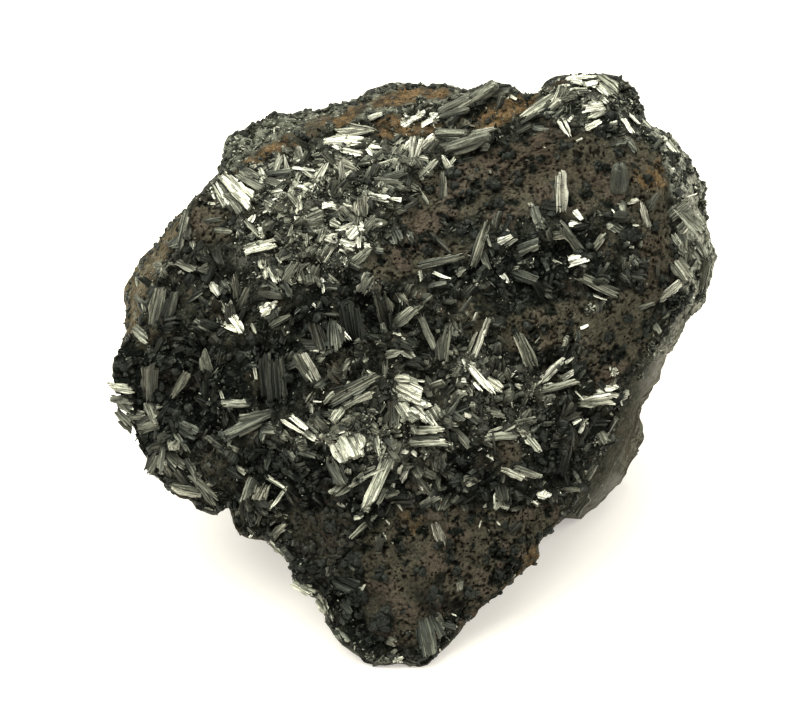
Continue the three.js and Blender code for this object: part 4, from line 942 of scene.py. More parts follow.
def logs(pile, rng, foot, end, up, width, thick, tone, n=8, slim=0.0):
    """One stout rounded crystal with blunt ends, finely striated along its length."""
    d, t = icosphere(n)
    ax = end - foot
    L = np.linalg.norm(ax)
    ax = ax / L
    up = unit(up - np.dot(up, ax) * ax)
    ac = np.cross(up, ax)
    a = np.sign(d[:, 2]) * np.abs(d[:, 2]) ** 0.8
    r = np.sqrt(np.maximum(1 - d[:, 2] ** 2, 0)) ** 0.62 * (1 - slim * (0.5 - 0.5 * a))
    th = np.arctan2(d[:, 1], d[:, 0])
    c, q = np.cos(th), np.sin(th)
    k = rng.uniform(-30, 30)
    lobe = noise(c * 1.6 + k, q * 1.6, a * 1.1)
    rib = noise(c * 7 + k, q * 7, a * 0.8)
    fine = noise(c * 14 + k, q * 14, a * 1.6 + 5)
    r = r * (1 + 0.22 * lobe + 0.05 * rib + 0.025 * fine)
    x = (a * 0.5 + 0.5 + 0.03 * fine) * L
    vert = foot + x[:, None] * ax + (c * r * width / 2)[:, None] * ac + (q * r * thick / 2)[:, None] * up
    ang, phi = np.arctan2(d[:, 1], d[:, 0]), np.arccos(np.clip(d[:, 2], -1, 1))
    top = phi[t].mean(1) < math.pi / 2
    rr = np.where(top[:, None], np.sqrt(1 - np.cos(phi[t])), np.sqrt(1 + np.cos(phi[t]))) * 0.20
    uv = np.stack([np.where(top[:, None], 0.24, 0.74) + rr * np.cos(ang[t]), 0.5 + rr * np.sin(ang[t])], -1)
    per = len(d)
    one = np.ones((1, per))
    # painted highlight and painted shade: lighter where the lobes and ribs bulge, darker between them
    pile.add(vert[None], t, uv, tone=tone + (0.09 * rib + 0.06 * fine + 0.12 * lobe)[None], along=(a * 0.5 + 0.5)[None], seed=one * rng.uniform(), rust=one * 0.12,
             fibre=np.repeat((ax * 0.5 + 0.5)[None, None], per, 1))


def sheaf(pile, rng, foot, end, up, width, thick, count, fan, tone, ragged=0.3, barrel=0.15, bend=0.0, core=True, rust=0.0,
          groove=0.24, S=4, flare=0.0, taper=0.08, calm=False):
    """A blade or a sheaf of blades grown side by side, on one foot."""
    ax = end - foot
    L = np.linalg.norm(ax)
    ax = ax / L
    up = up - np.dot(up, ax) * ax
    up = up / np.linalg.norm(up)
    ac = np.cross(up, ax)
    c = max(1, count)
    pos = ((np.arange(c) + 0.5) / c * 2 - 1) if c > 1 else np.zeros(1)
    w = np.full(c, width / c * (1.35 if c > 1 else 1.0)) * rng.uniform(0.85, 1.2, c)
    spread = 1 - 0.5 * min(1, fan / 18)
    f = foot[None] + ac[None] * (pos * (width - w.mean()) * 0.5 * spread)[:, None] + up[None] * (np.where(np.arange(c) % 2, -0.22, 0.12) * thick + rng.uniform(-0.06, 0.06, c) * thick)[:, None]
    a = pos * math.radians(fan) * 0.5 + rng.normal(0, 0.012, c)
    axs = ax[None] * np.cos(a)[:, None] + ac[None] * np.sin(a)[:, None] + up[None] * rng.normal(0, 0.015, c)[:, None]
    roll = rng.normal(0, 0.12, c)
    u = up[None] * np.cos(roll)[:, None] + ac[None] * np.sin(roll)[:, None]
    ln = L * (np.where(np.arange(c) % 2, rng.uniform(0.80, 0.97, c), rng.uniform(0.94, 1.03, c)) if c > 1 else np.ones(1))
    k = int(np.clip(round(width / UNIT / c / 1.5), 2, 11))
    plates(pile, rng, f, axs, u, ln, w, np.full(c, thick), tone + rng.normal(0, 0.05, c), ribs=k, S=S, ragged=ragged, barrel=barrel,
           bend=bend, ridge=0.12 if calm else (0.28 if k > 3 else 0.2), taper=taper, crown=0.3, slant=rng.uniform(-0.5, 0.8), rust=rust, groove=groove * (0.5 + 0.8 * tone),
           fan=flare, streak=0.05 if calm else 0.08)
    if core and c > 1:
        # painted shade: the core plate under the blades is darker
        plates(pile, rng, (foot - up * thick * 0.45)[None], ax[None], up[None], np.array([L * 0.86]), np.array([width * 0.9]), np.array([thick * 0.9]),
               np.array([tone - 0.18]), ribs=max(2, k), S=3, ragged=0.25, barrel=barrel, bend=bend, ridge=0.3, crown=0.5, rust=rust, fan=flare)


# ------------------------------------------------------------------ materials
def new_material(name):
    m = bpy.data.materials.new(name)
    m.use_nodes = True
    nt = m.node_tree
    nt.nodes.clear()
    out = nt.nodes.new("ShaderNodeOutputMaterial")
    bsdf = nt.nodes.new("ShaderNodeBsdfPrincipled")
    nt.links.new(bsdf.outputs[0], out.inputs[0])
    return m, nt, bsdf


class Tree:
    """Short names for building node trees."""
    def __init__(self, nt):
        self.nt = nt

    def node(self, kind, **kw):
        n = self.nt.nodes.new(kind)
        for k, v in kw.items():
            setattr(n, k, v)
        return n

    def put(self, sock, v):
        if isinstance(v, bpy.types.NodeSocket):
            self.nt.links.new(v, sock)
        else:
            sock.default_value = v

    def attr(self, name, what="Fac"):
        return self.node("ShaderNodeAttribute", attribute_name=name).outputs[what]

    def math(self, op, a, b=0.0, clamp=False):
        n = self.node("ShaderNodeMath", operation=op, use_clamp=clamp)
        self.put(n.inputs[0], a)
        self.put(n.inputs[1], b)
        return n.outputs[0]

    def vmath(self, op, a, b=None, scale=None):
        n = self.node("ShaderNodeVectorMath", operation=op)
        self.put(n.inputs[0], a)
        if b is not None:
            self.put(n.inputs[1], b)
        if scale is not None:
            self.put(n.inputs["Scale"], scale)
        return n.outputs["Value"] if op in ("DOT_PRODUCT", "LENGTH") else n.outputs[0]

    def mix(self, fac, a, b):
        n = self.node("ShaderNodeMix", data_type="RGBA")
        self.put(n.inputs["Factor"], fac)
        self.put(n.inputs[6], a)
        self.put(n.inputs[7], b)
        return n.outputs[2]

    def lerp(self, fac, a, b):
        n = self.node("ShaderNodeMix", data_type="FLOAT")
        self.put(n.inputs[0], fac)
        self.put(n.inputs[2], a)
        self.put(n.inputs[3], b)
        return n.outputs[0]

    def noise(self, vec, scale, detail=2.0, rough=0.5, out="Fac"):
        n = self.node("ShaderNodeTexNoise")
        self.put(n.inputs["Vector"], vec)
        n.inputs["Scale"].default_value = scale
        n.inputs["Detail"].default_value = detail
        n.inputs["Roughness"].default_value = rough
        return n.outputs[out]

    def voronoi(self, vec, scale, feature="F1", out="Distance", rand=1.0):
        n = self.node("ShaderNodeTexVoronoi", feature=feature)
        self.put(n.inputs["Vector"], vec)
        n.inputs["Scale"].default_value = scale
        n.inputs["Randomness"].default_value = rand
        return n.outputs[out]

    def ramp(self, fac, stops, interp="LINEAR"):
        n = self.node("ShaderNodeValToRGB")
        n.color_ramp.interpolation = interp
        while len(n.color_ramp.elements) < len(stops):
            n.color_ramp.elements.new(0.5)
        for e, (p, c) in zip(n.color_ramp.elements, stops):
            e.position = p
            e.color = (*c, 1) if len(c) == 3 else c
        self.put(n.inputs[0], fac)
        return n.outputs[0]

    def remap(self, v, a, b, c=0.0, d=1.0):
        n = self.node("ShaderNodeMapRange")
        self.put(n.inputs[0], v)
        for i, q in enumerate((a, b, c, d)):
            n.inputs[i + 1].default_value = q
        return n.outputs[0]

    def coord(self):
        return self.node("ShaderNodeTexCoord").outputs["Object"]

    def bump(self, height, strength, distance, normal=None):
        n = self.node("ShaderNodeBump")
        n.inputs["Strength"].default_value = strength
        n.inputs["Distance"].default_value = distance
        self.put(n.inputs["Height"], height)
        if normal is not None:
            self.put(n.inputs["Normal"], normal)
        return n.outputs[0]


def rock_material():
    m, nt, bsdf = new_material("matrix_rock_crust")
    T = Tree(nt)
    co = T.coord()
    crust, ochre, soot = T.attr("crust"), T.attr("ochre"), T.attr("soot")
    knob, band, rim, side = T.attr("knob"), T.attr("band"), T.attr("rim"), T.attr("side")
    pore, hollow, silver, chip = T.attr("pore"), T.attr("hollow"), T.attr("silver"), T.attr("chip")
    big = T.noise(co, 160, 3, 0.6)
    mid = T.noise(co, 520, 3, 0.6)
    fine = T.noise(co, 1900, 3, 0.6)
    speck = T.noise(co, 4200, 2, 0.6)
    # dark ground between the crystals: soot black to lead grey
    ground = T.mix(T.remap(mid, 0.38, 0.66), (0.0115, 0.0130, 0.0103, 1), (0.044, 0.044, 0.034, 1))
    ground = T.mix(T.math("MULTIPLY", T.remap(fine, 0.58, 0.72), T.remap(big, 0.4, 0.6)), ground, (0.11, 0.11, 0.095, 1))
    ground = T.mix(soot, ground, (0.0085, 0.0100, 0.0088, 1))
    ground = T.mix(T.math("MULTIPLY", silver, T.remap(mid, 0.48, 0.64)), ground, (0.12, 0.12, 0.105, 1))
    # painted shade: near-black in the low hollows of the ground between the crystals
    ground = T.mix(hollow, ground, (0.0062, 0.0068, 0.0060, 1))
    ground = T.mix(T.remap(T.noise(co, 3300, 2, 0.7), 0.46, 0.56), T.vmath("SCALE", ground, scale=0.45), ground)
    # broken massive ore of the sides: dull dark grey with brown films, and small grains painted pale as painted glints
    grain = T.math("MULTIPLY", T.voronoi(co, 1250, out="Color"), 1.0)
    flank = T.mix(T.remap(mid, 0.42, 0.58), (0.022, 0.022, 0.019, 1), (0.072, 0.071, 0.060, 1))
    flank = T.mix(T.math("MULTIPLY", T.remap(T.noise(co, 190, 5, 0.75), 0.53, 0.59), 0.8), flank, (0.058, 0.040, 0.026, 1))
    flank = T.vmath("SCALE", flank, scale=T.remap(grain, 0.25, 0.80, 0.68, 1.4))
    # painted glints: scattered grains painted pale
    flank = T.mix(T.math("MULTIPLY", T.remap(grain, 0.80, 0.88), T.remap(big, 0.44, 0.60)), flank, (0.16, 0.16, 0.14, 1))
    flank = T.mix(T.math("MULTIPLY", T.remap(T.noise(co, 1300, 4, 0.75), 0.55, 0.60), 0.8), flank, (0.008, 0.008, 0.007, 1))
    silvery = T.mix(T.remap(fine, 0.38, 0.60), (0.082, 0.083, 0.068, 1), (0.41, 0.41, 0.345, 1))
    # colour of the smooth break low on the right: its own streaks, brown films and specks, and painted sheen in the
    # pale patches
    sleek_and_sheen = T.mix(T.remap(T.attr("streak"), 0.36, 0.60), (0.058, 0.057, 0.042, 1), (0.140, 0.138, 0.107, 1))
    sleek_and_sheen = T.mix(T.math("MULTIPLY", T.remap(T.noise(co, 260, 5, 0.72), 0.51, 0.57), 0.8), sleek_and_sheen, (0.042, 0.033, 0.023, 1))
    sleek_and_sheen = T.mix(T.math("MULTIPLY", T.remap(T.noise(co, 480, 4, 0.75), 0.56, 0.62), 0.7), sleek_and_sheen, (0.165, 0.161, 0.138, 1))
    sleek_and_sheen = T.mix(T.math("MULTIPLY", T.remap(T.noise(co, 900, 5, 0.8), 0.52, 0.56), 0.8), sleek_and_sheen, (0.016, 0.015, 0.012, 1))
    sleek_and_sheen = T.mix(T.math("MULTIPLY", T.remap(speck, 0.60, 0.68), 0.6), sleek_and_sheen, (0.17, 0.17, 0.145, 1))
    sleek_and_sheen = T.mix(T.math("MULTIPLY", T.remap(T.noise(co, 150, 3, 0.6), 0.52, 0.62), 0.6), sleek_and_sheen, (0.033, 0.028, 0.021, 1))
    # painted sheen: the pale patches, where the smooth break takes the light, are painted lighter
    sleek_and_sheen = T.mix(T.math("MULTIPLY", T.attr("pale"), T.remap(T.noise(co, 900, 4, 0.7), 0.38, 0.54)), sleek_and_sheen, (0.25, 0.242, 0.225, 1))
    flank = T.mix(T.math("MULTIPLY", T.attr("sleek"), 0.9), flank, sleek_and_sheen)
    # granular band: painted shade, near-black deep between the knobby grains and grey on their tops, and painted glints
    # in the pale specks
    band_glints_and_shade = T.mix(T.remap(T.attr("deep"), 0.72, 0.30), (0.009, 0.010, 0.007, 1), (0.082, 0.085, 0.066, 1))
    band_glints_and_shade = T.mix(T.math("MULTIPLY", T.remap(T.noise(co, 700, 3, 0.7), 0.50, 0.60), 0.7), band_glints_and_shade, (0.17, 0.173, 0.14, 1))
    band_glints_and_shade = T.mix(T.remap(fine, 0.60, 0.66), band_glints_and_shade, (0.50, 0.50, 0.43, 1))
    colour = T.mix(side, ground, flank)
    silvery = T.mix(T.remap(big, 0.57, 0.63), silvery, (0.020, 0.021, 0.017, 1))
    colour = T.mix(T.math("MULTIPLY", rim, 0.9), colour, silvery)
    colour = T.mix(band, colour, band_glints_and_shade)
    earthy = T.mix(T.remap(mid, 0.36, 0.64), (0.046, 0.037, 0.024, 1), (0.130, 0.106, 0.070, 1))
    earthy = T.mix(T.math("MULTIPLY", T.remap(T.noise(co, 520, 4, 0.7), 0.56, 0.62), 0.75), earthy, (0.130, 0.137, 0.110, 1))
    earthy = T.mix(T.math("MULTIPLY", T.remap(T.noise(co, 1300, 4, 0.8), 0.52, 0.58), 0.85), earthy, (0.014, 0.012, 0.008, 1))
    earthy = T.mix(T.math("MULTIPLY", T.remap(speck, 0.60, 0.72), 0.5), earthy, (0.20, 0.19, 0.15, 1))
    colour = T.mix(T.attr("tan"), colour, earthy)
    # brown porous crust: olive brown, some chips mauve brown
    brown = T.mix(T.remap(mid, 0.36, 0.66), (0.047, 0.044, 0.032, 1), (0.067, 0.060, 0.044, 1))
    brown = T.mix(T.math("MULTIPLY", T.remap(chip, 0.15, 0.75), 0.8), brown, (0.067, 0.053, 0.042, 1))
    brown = T.mix(T.math("MULTIPLY", T.remap(T.noise(co, 120, 3, 0.6), 0.52, 0.66), 0.45), brown, (0.068, 0.049, 0.037, 1))
    brown = T.mix(T.math("MULTIPLY", T.remap(fine, 0.55, 0.68), 0.6), brown, (0.018, 0.016, 0.012, 1))
    brown = T.mix(T.math("MULTIPLY", T.remap(speck, 0.60, 0.72), 0.5), brown, (0.125, 0.112, 0.088, 1))
    brown = T.vmath("SCALE", brown, scale=T.remap(T.noise(co, 2500, 3, 0.7), 0.36, 0.62, 0.6, 1.35))
    # pin-sized pits, thick in places: painted shade, near-black dots for the shadow inside them
    pit_shade = T.math("MULTIPLY", T.remap(T.voronoi(co, 1450), 0.30, 0.20), T.remap(T.noise(co, 260, 2, 0.6), 0.44, 0.54))
    brown = T.mix(pit_shade, brown, (0.0075, 0.0065, 0.0050, 1))
    colour = T.mix(crust, colour, brown)
    rust = T.mix(T.remap(mid, 0.35, 0.65), (0.060, 0.040, 0.021, 1), (0.150, 0.096, 0.049, 1))
    rust = T.mix(T.remap(fine, 0.52, 0.64), rust, (0.026, 0.020, 0.013, 1))
    rust = T.mix(T.remap(speck, 0.62, 0.70), rust, (0.30, 0.25, 0.17, 1))
    colour = T.mix(T.math("MULTIPLY", ochre, T.remap(T.noise(co, 330, 4, 0.7), 0.42, 0.54)), colour, rust)
    sooty = T.mix(T.remap(fine, 0.50, 0.68), (0.0060, 0.0075, 0.0064, 1), (0.022, 0.025, 0.021, 1))
    colour = T.mix(T.math("MULTIPLY", knob, T.remap(T.noise(co, 1100, 3, 0.6), 0.28, 0.48)), colour, sooty)
    # painted shade: the crust's pores and cracks painted near-black
    colour = T.mix(T.math("MULTIPLY", pore, 0.85), colour, (0.009, 0.0075, 0.006, 1))
    T.put(bsdf.inputs["Base Color"], colour)
    metal = T.math("MULTIPLY", T.remap(fine, 0.55, 0.70), T.math("SUBTRACT", 1.0, T.math("MAXIMUM", crust, ochre)))
    T.put(bsdf.inputs["Metallic"], T.math("MULTIPLY", metal, 0.75))
    T.put(bsdf.inputs["Roughness"], T.lerp(metal, 0.90, 0.42))
    bsdf.inputs["Specular IOR Level"].default_value = 0.0
    h = T.math("ADD", T.math("MULTIPLY", fine, 0.7), T.math("MULTIPLY", T.voronoi(co, 2600), 0.6))
    T.put(bsdf.inputs["Normal"], T.bump(h, 0.6, 0.00024))
    return m


def crystal_material():
    m, nt, bsdf = new_material("pyrolusite_crystal")
    T = Tree(nt)
    co = T.coord()
    tone, along, seed, dust = T.attr("tone"), T.attr("along"), T.attr("seed"), T.attr("rust")
    fib = T.vmath("NORMALIZE", T.vmath("SUBTRACT", T.attr("fibre", "Color"), (0.5, 0.5, 0.5)))
    # position with the part along the fibre shrunk, so that the pattern runs in long streaks
    dot = T.vmath("DOT_PRODUCT", co, fib)
    flat = T.vmath("SUBTRACT", co, T.vmath("SCALE", fib, scale=T.math("MULTIPLY", dot, 0.93)))
    flat = T.vmath("ADD", flat, T.vmath("SCALE", (1.0, 0.7, 0.3), scale=seed))
    streak = T.noise(flat, 5200, 1.5, 0.6)
    streak2 = T.noise(flat, 1700, 2, 0.65)
    blot = T.noise(co, 900, 3, 0.6)
    # tone runs from near-black to cream-white: the crystals' own steel grey and sooty coats, and painted highlight and
    # painted shade for how each crystal faces the light
    base = T.ramp(tone, [(0.0, (0.0095, 0.0115, 0.0100)), (0.25, (0.063, 0.068, 0.058)), (0.5, (0.222, 0.225, 0.180)),
                         (0.75, (0.54, 0.535, 0.44)), (0.95, (0.92, 0.91, 0.79))])
    dark = T.vmath("SCALE", base, scale=T.remap(tone, 0.18, 0.50, 0.60, 0.30))
    colour = T.mix(T.remap(streak, 0.42, 0.52), dark, base)
    colour = T.mix(T.math("MULTIPLY", T.remap(streak2, 0.56, 0.64), 0.55), colour, dark)
    colour = T.mix(T.math("MULTIPLY", T.remap(blot, 0.56, 0.68), 0.35), colour, (0.03, 0.027, 0.02, 1))
    colour = T.mix(T.math("MULTIPLY", T.remap(T.noise(co, 3900, 2, 0.6), 0.61, 0.66), 0.75), colour, (0.010, 0.011, 0.009, 1))
    film = T.mix(T.remap(T.noise(co, 1600, 3, 0.6), 0.4, 0.62), (0.040, 0.033, 0.024, 1), (0.095, 0.074, 0.052, 1))
    colour = T.mix(T.math("MULTIPLY", dust, T.remap(T.noise(co, 1300, 3, 0.6), 0.34, 0.56)), colour, film)
    T.put(bsdf.inputs["Base Color"], colour)
    bsdf.inputs["Metallic"].default_value = 0.6
    T.put(bsdf.inputs["Roughness"], T.lerp(T.remap(streak2, 0.35, 0.65), 0.36, 0.55))
    bsdf.inputs["Specular IOR Level"].default_value = 0.22
    h = T.math("ADD", streak, T.math("MULTIPLY", streak2, 0.8))
    T.put(bsdf.inputs["Normal"], T.bump(h, 0.8, 0.00012))
    return m


rock = rock_material()
steel = crystal_material()
for lump in lumps:
    lump.data.materials.append(rock)
    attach(lump, "root")
    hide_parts("matrix_rock")


def own(ob, node=None):
    ob.data.materials.append(steel)
    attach(ob, "root")
    if node:
        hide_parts(node)


# ------------------------------------------------------------------ the frame's own sheaves
# the tone of each sheaf: its own grey and coats, with painted highlight on the bright ones and painted shade on the
# dark ones
SHINE = {
    "crystal_fan_upper_left": 0.92,
    "crystal_blade_left_rim": 0.62,
    "crystal_sheaf_left_shoulder": 0.70,
    "crystal_blade_left_bright": 0.90,
    "crystal_sheaf_left_dark": 0.28,
    "crystal_sheaf_crest_upper": 0.42,
    "crystal_sheaf_crest_lower": 0.36,
    "crystal_blade_crest_pale": 0.60,
    "crystal_blade_knob_twin": 0.85,
    "crystal_sheaf_knob_bright": 0.90,
    "crystal_blade_knob_right": 0.82,
    "crystal_fan_knob_top": 0.60,
    "crystal_sheaf_right_tall": 0.85,
    "crystal_sheaf_right_dark": 0.25,
    "crystal_needles_right": 0.75,
    "crystal_blade_pale_upper_centre": 0.50,
    "crystal_blade_long_upper_centre": 0.50,
    "crystal_blade_curved_right": 0.48,
    "crystal_sheaf_right_long": 0.48,
    "crystal_sheaf_right_rim": 0.95,
    "crystal_sheaf_shelf": 0.42,
    "crystal_sheaf_centre_upper": 0.50,
    "crystal_blade_centre_pale": 0.66,
    "crystal_sheaf_centre_grey": 0.45,
    "crystal_blade_centre_bright": 0.95,
    "crystal_blade_right_cream_upper": 0.85,
    "crystal_blade_right_cream_lower": 0.62,
    "crystal_sheaf_right_low_bright": 0.85,
    "crystal_blade_low_pale": 0.72,
    "crystal_blade_low_small": 0.68,
    "crystal_sheaf_low_split": 0.66,
    "crystal_sheaf_heart_bright": 0.98,
    "crystal_sheaf_left_point": 0.82,
    "crystal_blade_left_upper": 0.60,
    "crystal_columns_left_centre": 0.28,
    "crystal_blade_centre_left_bright": 0.85,
    "crystal_sheaf_centre_long": 0.42,
    "crystal_blade_low_left": 0.70,
    "crystal_fan_low_left": 0.45,
    "crystal_sheaf_heart_low": 0.85,
    "crystal_fan_left_rim": 0.60,
    "crystal_fan_lower_left": 0.66,
    "crystal_blade_lower_centre": 0.52,
    "crystal_blade_lower_long": 0.62,
    "crystal_blade_lower_arrow": 0.66,
    "crystal_fan_bottom": 0.42,
}


def seat(fx, fy, ex, ey, pitch, tilt):
    """Foot, free end and broad side of a sheaf that the frame has, in the row frame."""
    w0 = float(relief(np.float64(fx), np.float64(fy))) - SEAT_DEPTH
    foot = standing(local(np.float64(fx), np.float64(fy), np.float64(w0)))
    reach = UNIT * math.hypot(ex - fx, ey - fy)
    end = standing(local(np.float64(ex), np.float64(ey), np.float64(w0 + reach * math.tan(pitch * DEG))))
    up = EZ * math.cos(tilt * DEG) + EY * math.sin(tilt * DEG)
    return foot, end, up


# sheaves whose blades are laid out one by one: foot x, y, free end x, y, width, tone, widening towards the free end
LAID_OUT = {
    "crystal_fan_upper_left": [(224, 178, 256, 207, 16, 0.92, 0.7), (220, 183, 241, 213, 8, 0.40, 0.3), (213, 184, 225, 208, 5, 0.74, 0.4),
                               (237, 176, 263, 190, 10, 0.40, 0.3), (217, 183, 229, 206, 3, 0.92, 0.2), (244, 170, 262, 179, 8, 0.46, 0.2)],
    "crystal_sheaf_low_split": [(412, 431, 446, 430, 9, 0.68, 0.0), (411, 442, 453, 443, 9, 0.82, 0.0), (414, 437, 446, 437, 12, 0.3, 0.0)],
    "crystal_blade_centre_bright": [(469, 367, 496, 397, 9, 1.0, 0.0), (472, 381, 482, 392, 3, 0.92, 0.0), (486, 379, 503, 392, 9, 0.8, 0.0)],
    "crystal_blade_centre_pale": [(474, 357, 487, 322, 6, 0.86, 0.0), (468, 352, 478, 330, 4, 0.55, 0.0), (483, 334, 489, 317, 8, 0.8, 0.0)],
    "crystal_sheaf_heart_low": [(346, 437, 356, 457, 18, 0.72, 0.0), (335, 446, 345, 462, 13, 0.92, 0.0), (357, 432, 364, 449, 8, 0.62, 0.0)],
    "crystal_sheaf_heart_bright": [(400, 385, 424, 396, 14, 0.90, 0.1), (402, 376, 420, 384, 7, 0.62, 0.1), (400, 394, 426, 405, 9, 0.97, 0.0), (403, 404, 418, 413, 5, 0.8, 0.0)],
    "crystal_blade_centre_left_bright": [(322, 387, 303, 352, 8, 0.88, 0.1), (311, 383, 294, 354, 10, 0.52, 0.1)],
    "crystal_blade_left_upper": [(209, 374, 201, 349, 12, 0.52, 0.0)],
    "crystal_fan_low_left": [(268, 415, 222, 435, 11, 0.38, 0.2), (272, 411, 238, 419, 9, 0.28, 0.1), (264, 423, 240, 435, 6, 0.44, 0.0)],
    "crystal_sheaf_right_dark": [(619, 192, 619, 162, 16, 0.27, -0.2)],
    "crystal_sheaf_centre_long": [(331, 403, 381, 376, 11, 0.42, 0.1), (328, 396, 372, 374, 6, 0.36, 0.0), (345, 404, 378, 386, 4, 0.34, 0.0)],
    "crystal_sheaf_left_point": [(132, 390, 106, 387, 11, 0.74, 0.1), (130, 397, 112, 398, 5, 0.42, 0.0)],
    "crystal_blade_lower_long": [(392, 449, 366, 511, 13, 0.64, 0.4), (387, 486, 378, 505, 5, 0.48, 0.0)],
    "crystal_sheaf_right_low_bright": [(581, 403, 618, 397, 15, 0.80, 0.6), (599, 390, 618, 388, 6, 1.0, 0.1), (608, 394, 621, 397, 5, 0.92, 0.0)],
    "crystal_blade_low_pale": [(516, 436, 485, 438, 9, 0.62, 0.0), (504, 427, 487, 432, 3, 0.6, 0.0), (505, 431, 515, 426, 3, 0.78, 0.0)],
    "crystal_blade_right_cream_lower": [(541, 391, 585, 380, 9, 0.58, 0.1), (543, 386, 556, 383, 4, 0.84, 0.0)],
    "crystal_fan_bottom": [(423, 620, 430, 657, 17, 0.25, 0.4), (431, 612, 442, 640, 8, 0.27, 0.2), (435, 609, 445, 630, 4, 0.38, 0.2), (418, 628, 422, 648, 8, 0.20, 0.2)],
    "crystal_sheaf_crest_upper": [(452, 114, 498, 84, 15, 0.47, 0.35), (440, 111, 472, 97, 10, 0.40, 0.2), (440, 118, 470, 109, 8, 0.34, 0.0)],
    "crystal_sheaf_crest_lower": [(446, 151, 491, 136, 13, 0.40, -0.1), (437, 134, 468, 134, 11, 0.44, 0.1), (462, 138, 497, 128, 4, 0.55, -0.5), (440, 146, 470, 148, 8, 0.34, 0.0)],
    "crystal_sheaf_left_dark": [(153, 324, 162, 286, 14, 0.32, 0.1), (168, 322, 177, 290, 10, 0.28, 0.1), (161, 323, 170, 296, 9, 0.15, 0.0)],
    "crystal_blade_crest_pale": [(557, 97, 520, 120, 13, 0.64, 0.0)],
    "crystal_fan_knob_top": [(600, 79, 621, 96, 15, 0.60, 0.35), (599, 88, 608, 96, 6, 1.0, 0.0), (602, 99, 608, 104, 5, 0.96, 0.0)],
    "crystal_sheaf_knob_bright": [(602, 107, 583, 110, 8, 1.0, 0.2), (600, 103, 588, 104, 4, 0.94, 0.0), (604, 112, 586, 120, 6, 0.74, 0.2), (603, 109, 590, 115, 4, 0.9, 0.0)],
    "crystal_blade_knob_twin": [(555, 117, 569, 139, 4, 0.98, 0.0), (561, 114, 573, 138, 3.5, 0.92, 0.0)],
    "crystal_blade_knob_right": [(620, 116, 633, 136, 5, 0.97, 0.2), (627, 113, 639, 124, 4, 0.7, 0.0)],
    "crystal_sheaf_right_tall": [(561, 210, 561, 169, 13, 0.86, 0.1), (554, 206, 556, 178, 3, 0.5, 0.0)],
    "crystal_columns_left_centre": [(267, 394, 264, 350, 13, 0.26, 0.0), (282, 395, 279, 354, 11, 0.31, 0.0), (273, 398, 271, 358, 18, 0.13, 0.0)],
}

STOUT = {"crystal_fan_bottom": 0.35}
LIFTED = {"crystal_blade_crest_pale": 0.6, "crystal_fan_upper_left": 0.3, "crystal_blade_left_upper": 0.3}
ROUNDED = {"crystal_sheaf_crest_upper", "crystal_sheaf_crest_lower", "crystal_sheaf_right_dark"}
CALM = {"crystal_sheaf_heart_low", "crystal_sheaf_heart_bright", "crystal_blade_lower_long", "crystal_blade_centre_left_bright", "crystal_blade_left_upper", "crystal_sheaf_left_point", "crystal_fan_low_left", "crystal_fan_upper_left", "crystal_fan_bottom", "crystal_blade_crest_pale", "crystal_blade_low_pale", "crystal_sheaf_left_dark", "crystal_columns_left_centre"}


def raised(foot, end, gap, most=3.0):
    """The free end, lifted until the blade clears the lump along its length."""
    need = 0.0
    for t in (0.4, 0.6, 0.8, 1.0):
        x, y, w = drawn(foot + (end - foot) * t)
        hit = land(x, y)
        if hit is not None:
            need = max(need, (float(drawn(hit)[2]) + gap - w) / t)
    x, y, w = drawn(end)
    return standing(local(x, y, w + min(need, most)))


rng = np.random.default_rng(20)
for name, fx, fy, ex, ey, width, pitch, count, fan, tilt in SHEAVES:
    pile = Pile()
    rows = LAID_OUT.get(name)
    if rows is None:
        rows = [(fx, fy, ex, ey, width, SHINE[name], 0.0)]
        count = 1 if count <= 3 else 2
    else:
        count = 1
    for a, b, c, d, width, tone, flare in rows:
        foot, end, up = seat(a, b, c, d, pitch, tilt)
        w = width * UNIT
        hit = land(a, b)
        if hit is not None:
            foot = foot + EZ * max(0.0, float(drawn(hit)[2]) - 0.3 - float(drawn(foot)[2]))
        end = raised(foot, end, 0.22 + LIFTED.get(name, 0.0))
        along = (end - foot) / np.linalg.norm(end - foot)
        lift = EZ * (0.12 * rng.uniform(-1, 1) + 0.3 * (tone - 0.5)) if count == 1 and len(rows) > 1 else EZ * 0
        if name in ROUNDED:
            logs(pile, rng, foot - along * 0.4, end, up, w * 1.1, w * 0.95, tone, slim=flare)
            continue
        sheaf(pile, rng, foot - along * 0.25 + lift, end + lift, up, w, max(0.3, w * STOUT.get(name, 0.5)), min(count, 4), fan, tone, ragged=0.07 if name in CALM else 0.2, flare=flare,
              groove=0.09 if name in CALM else 0.24, calm=name in CALM)
    own(pile.object(name + "_blades"), name)

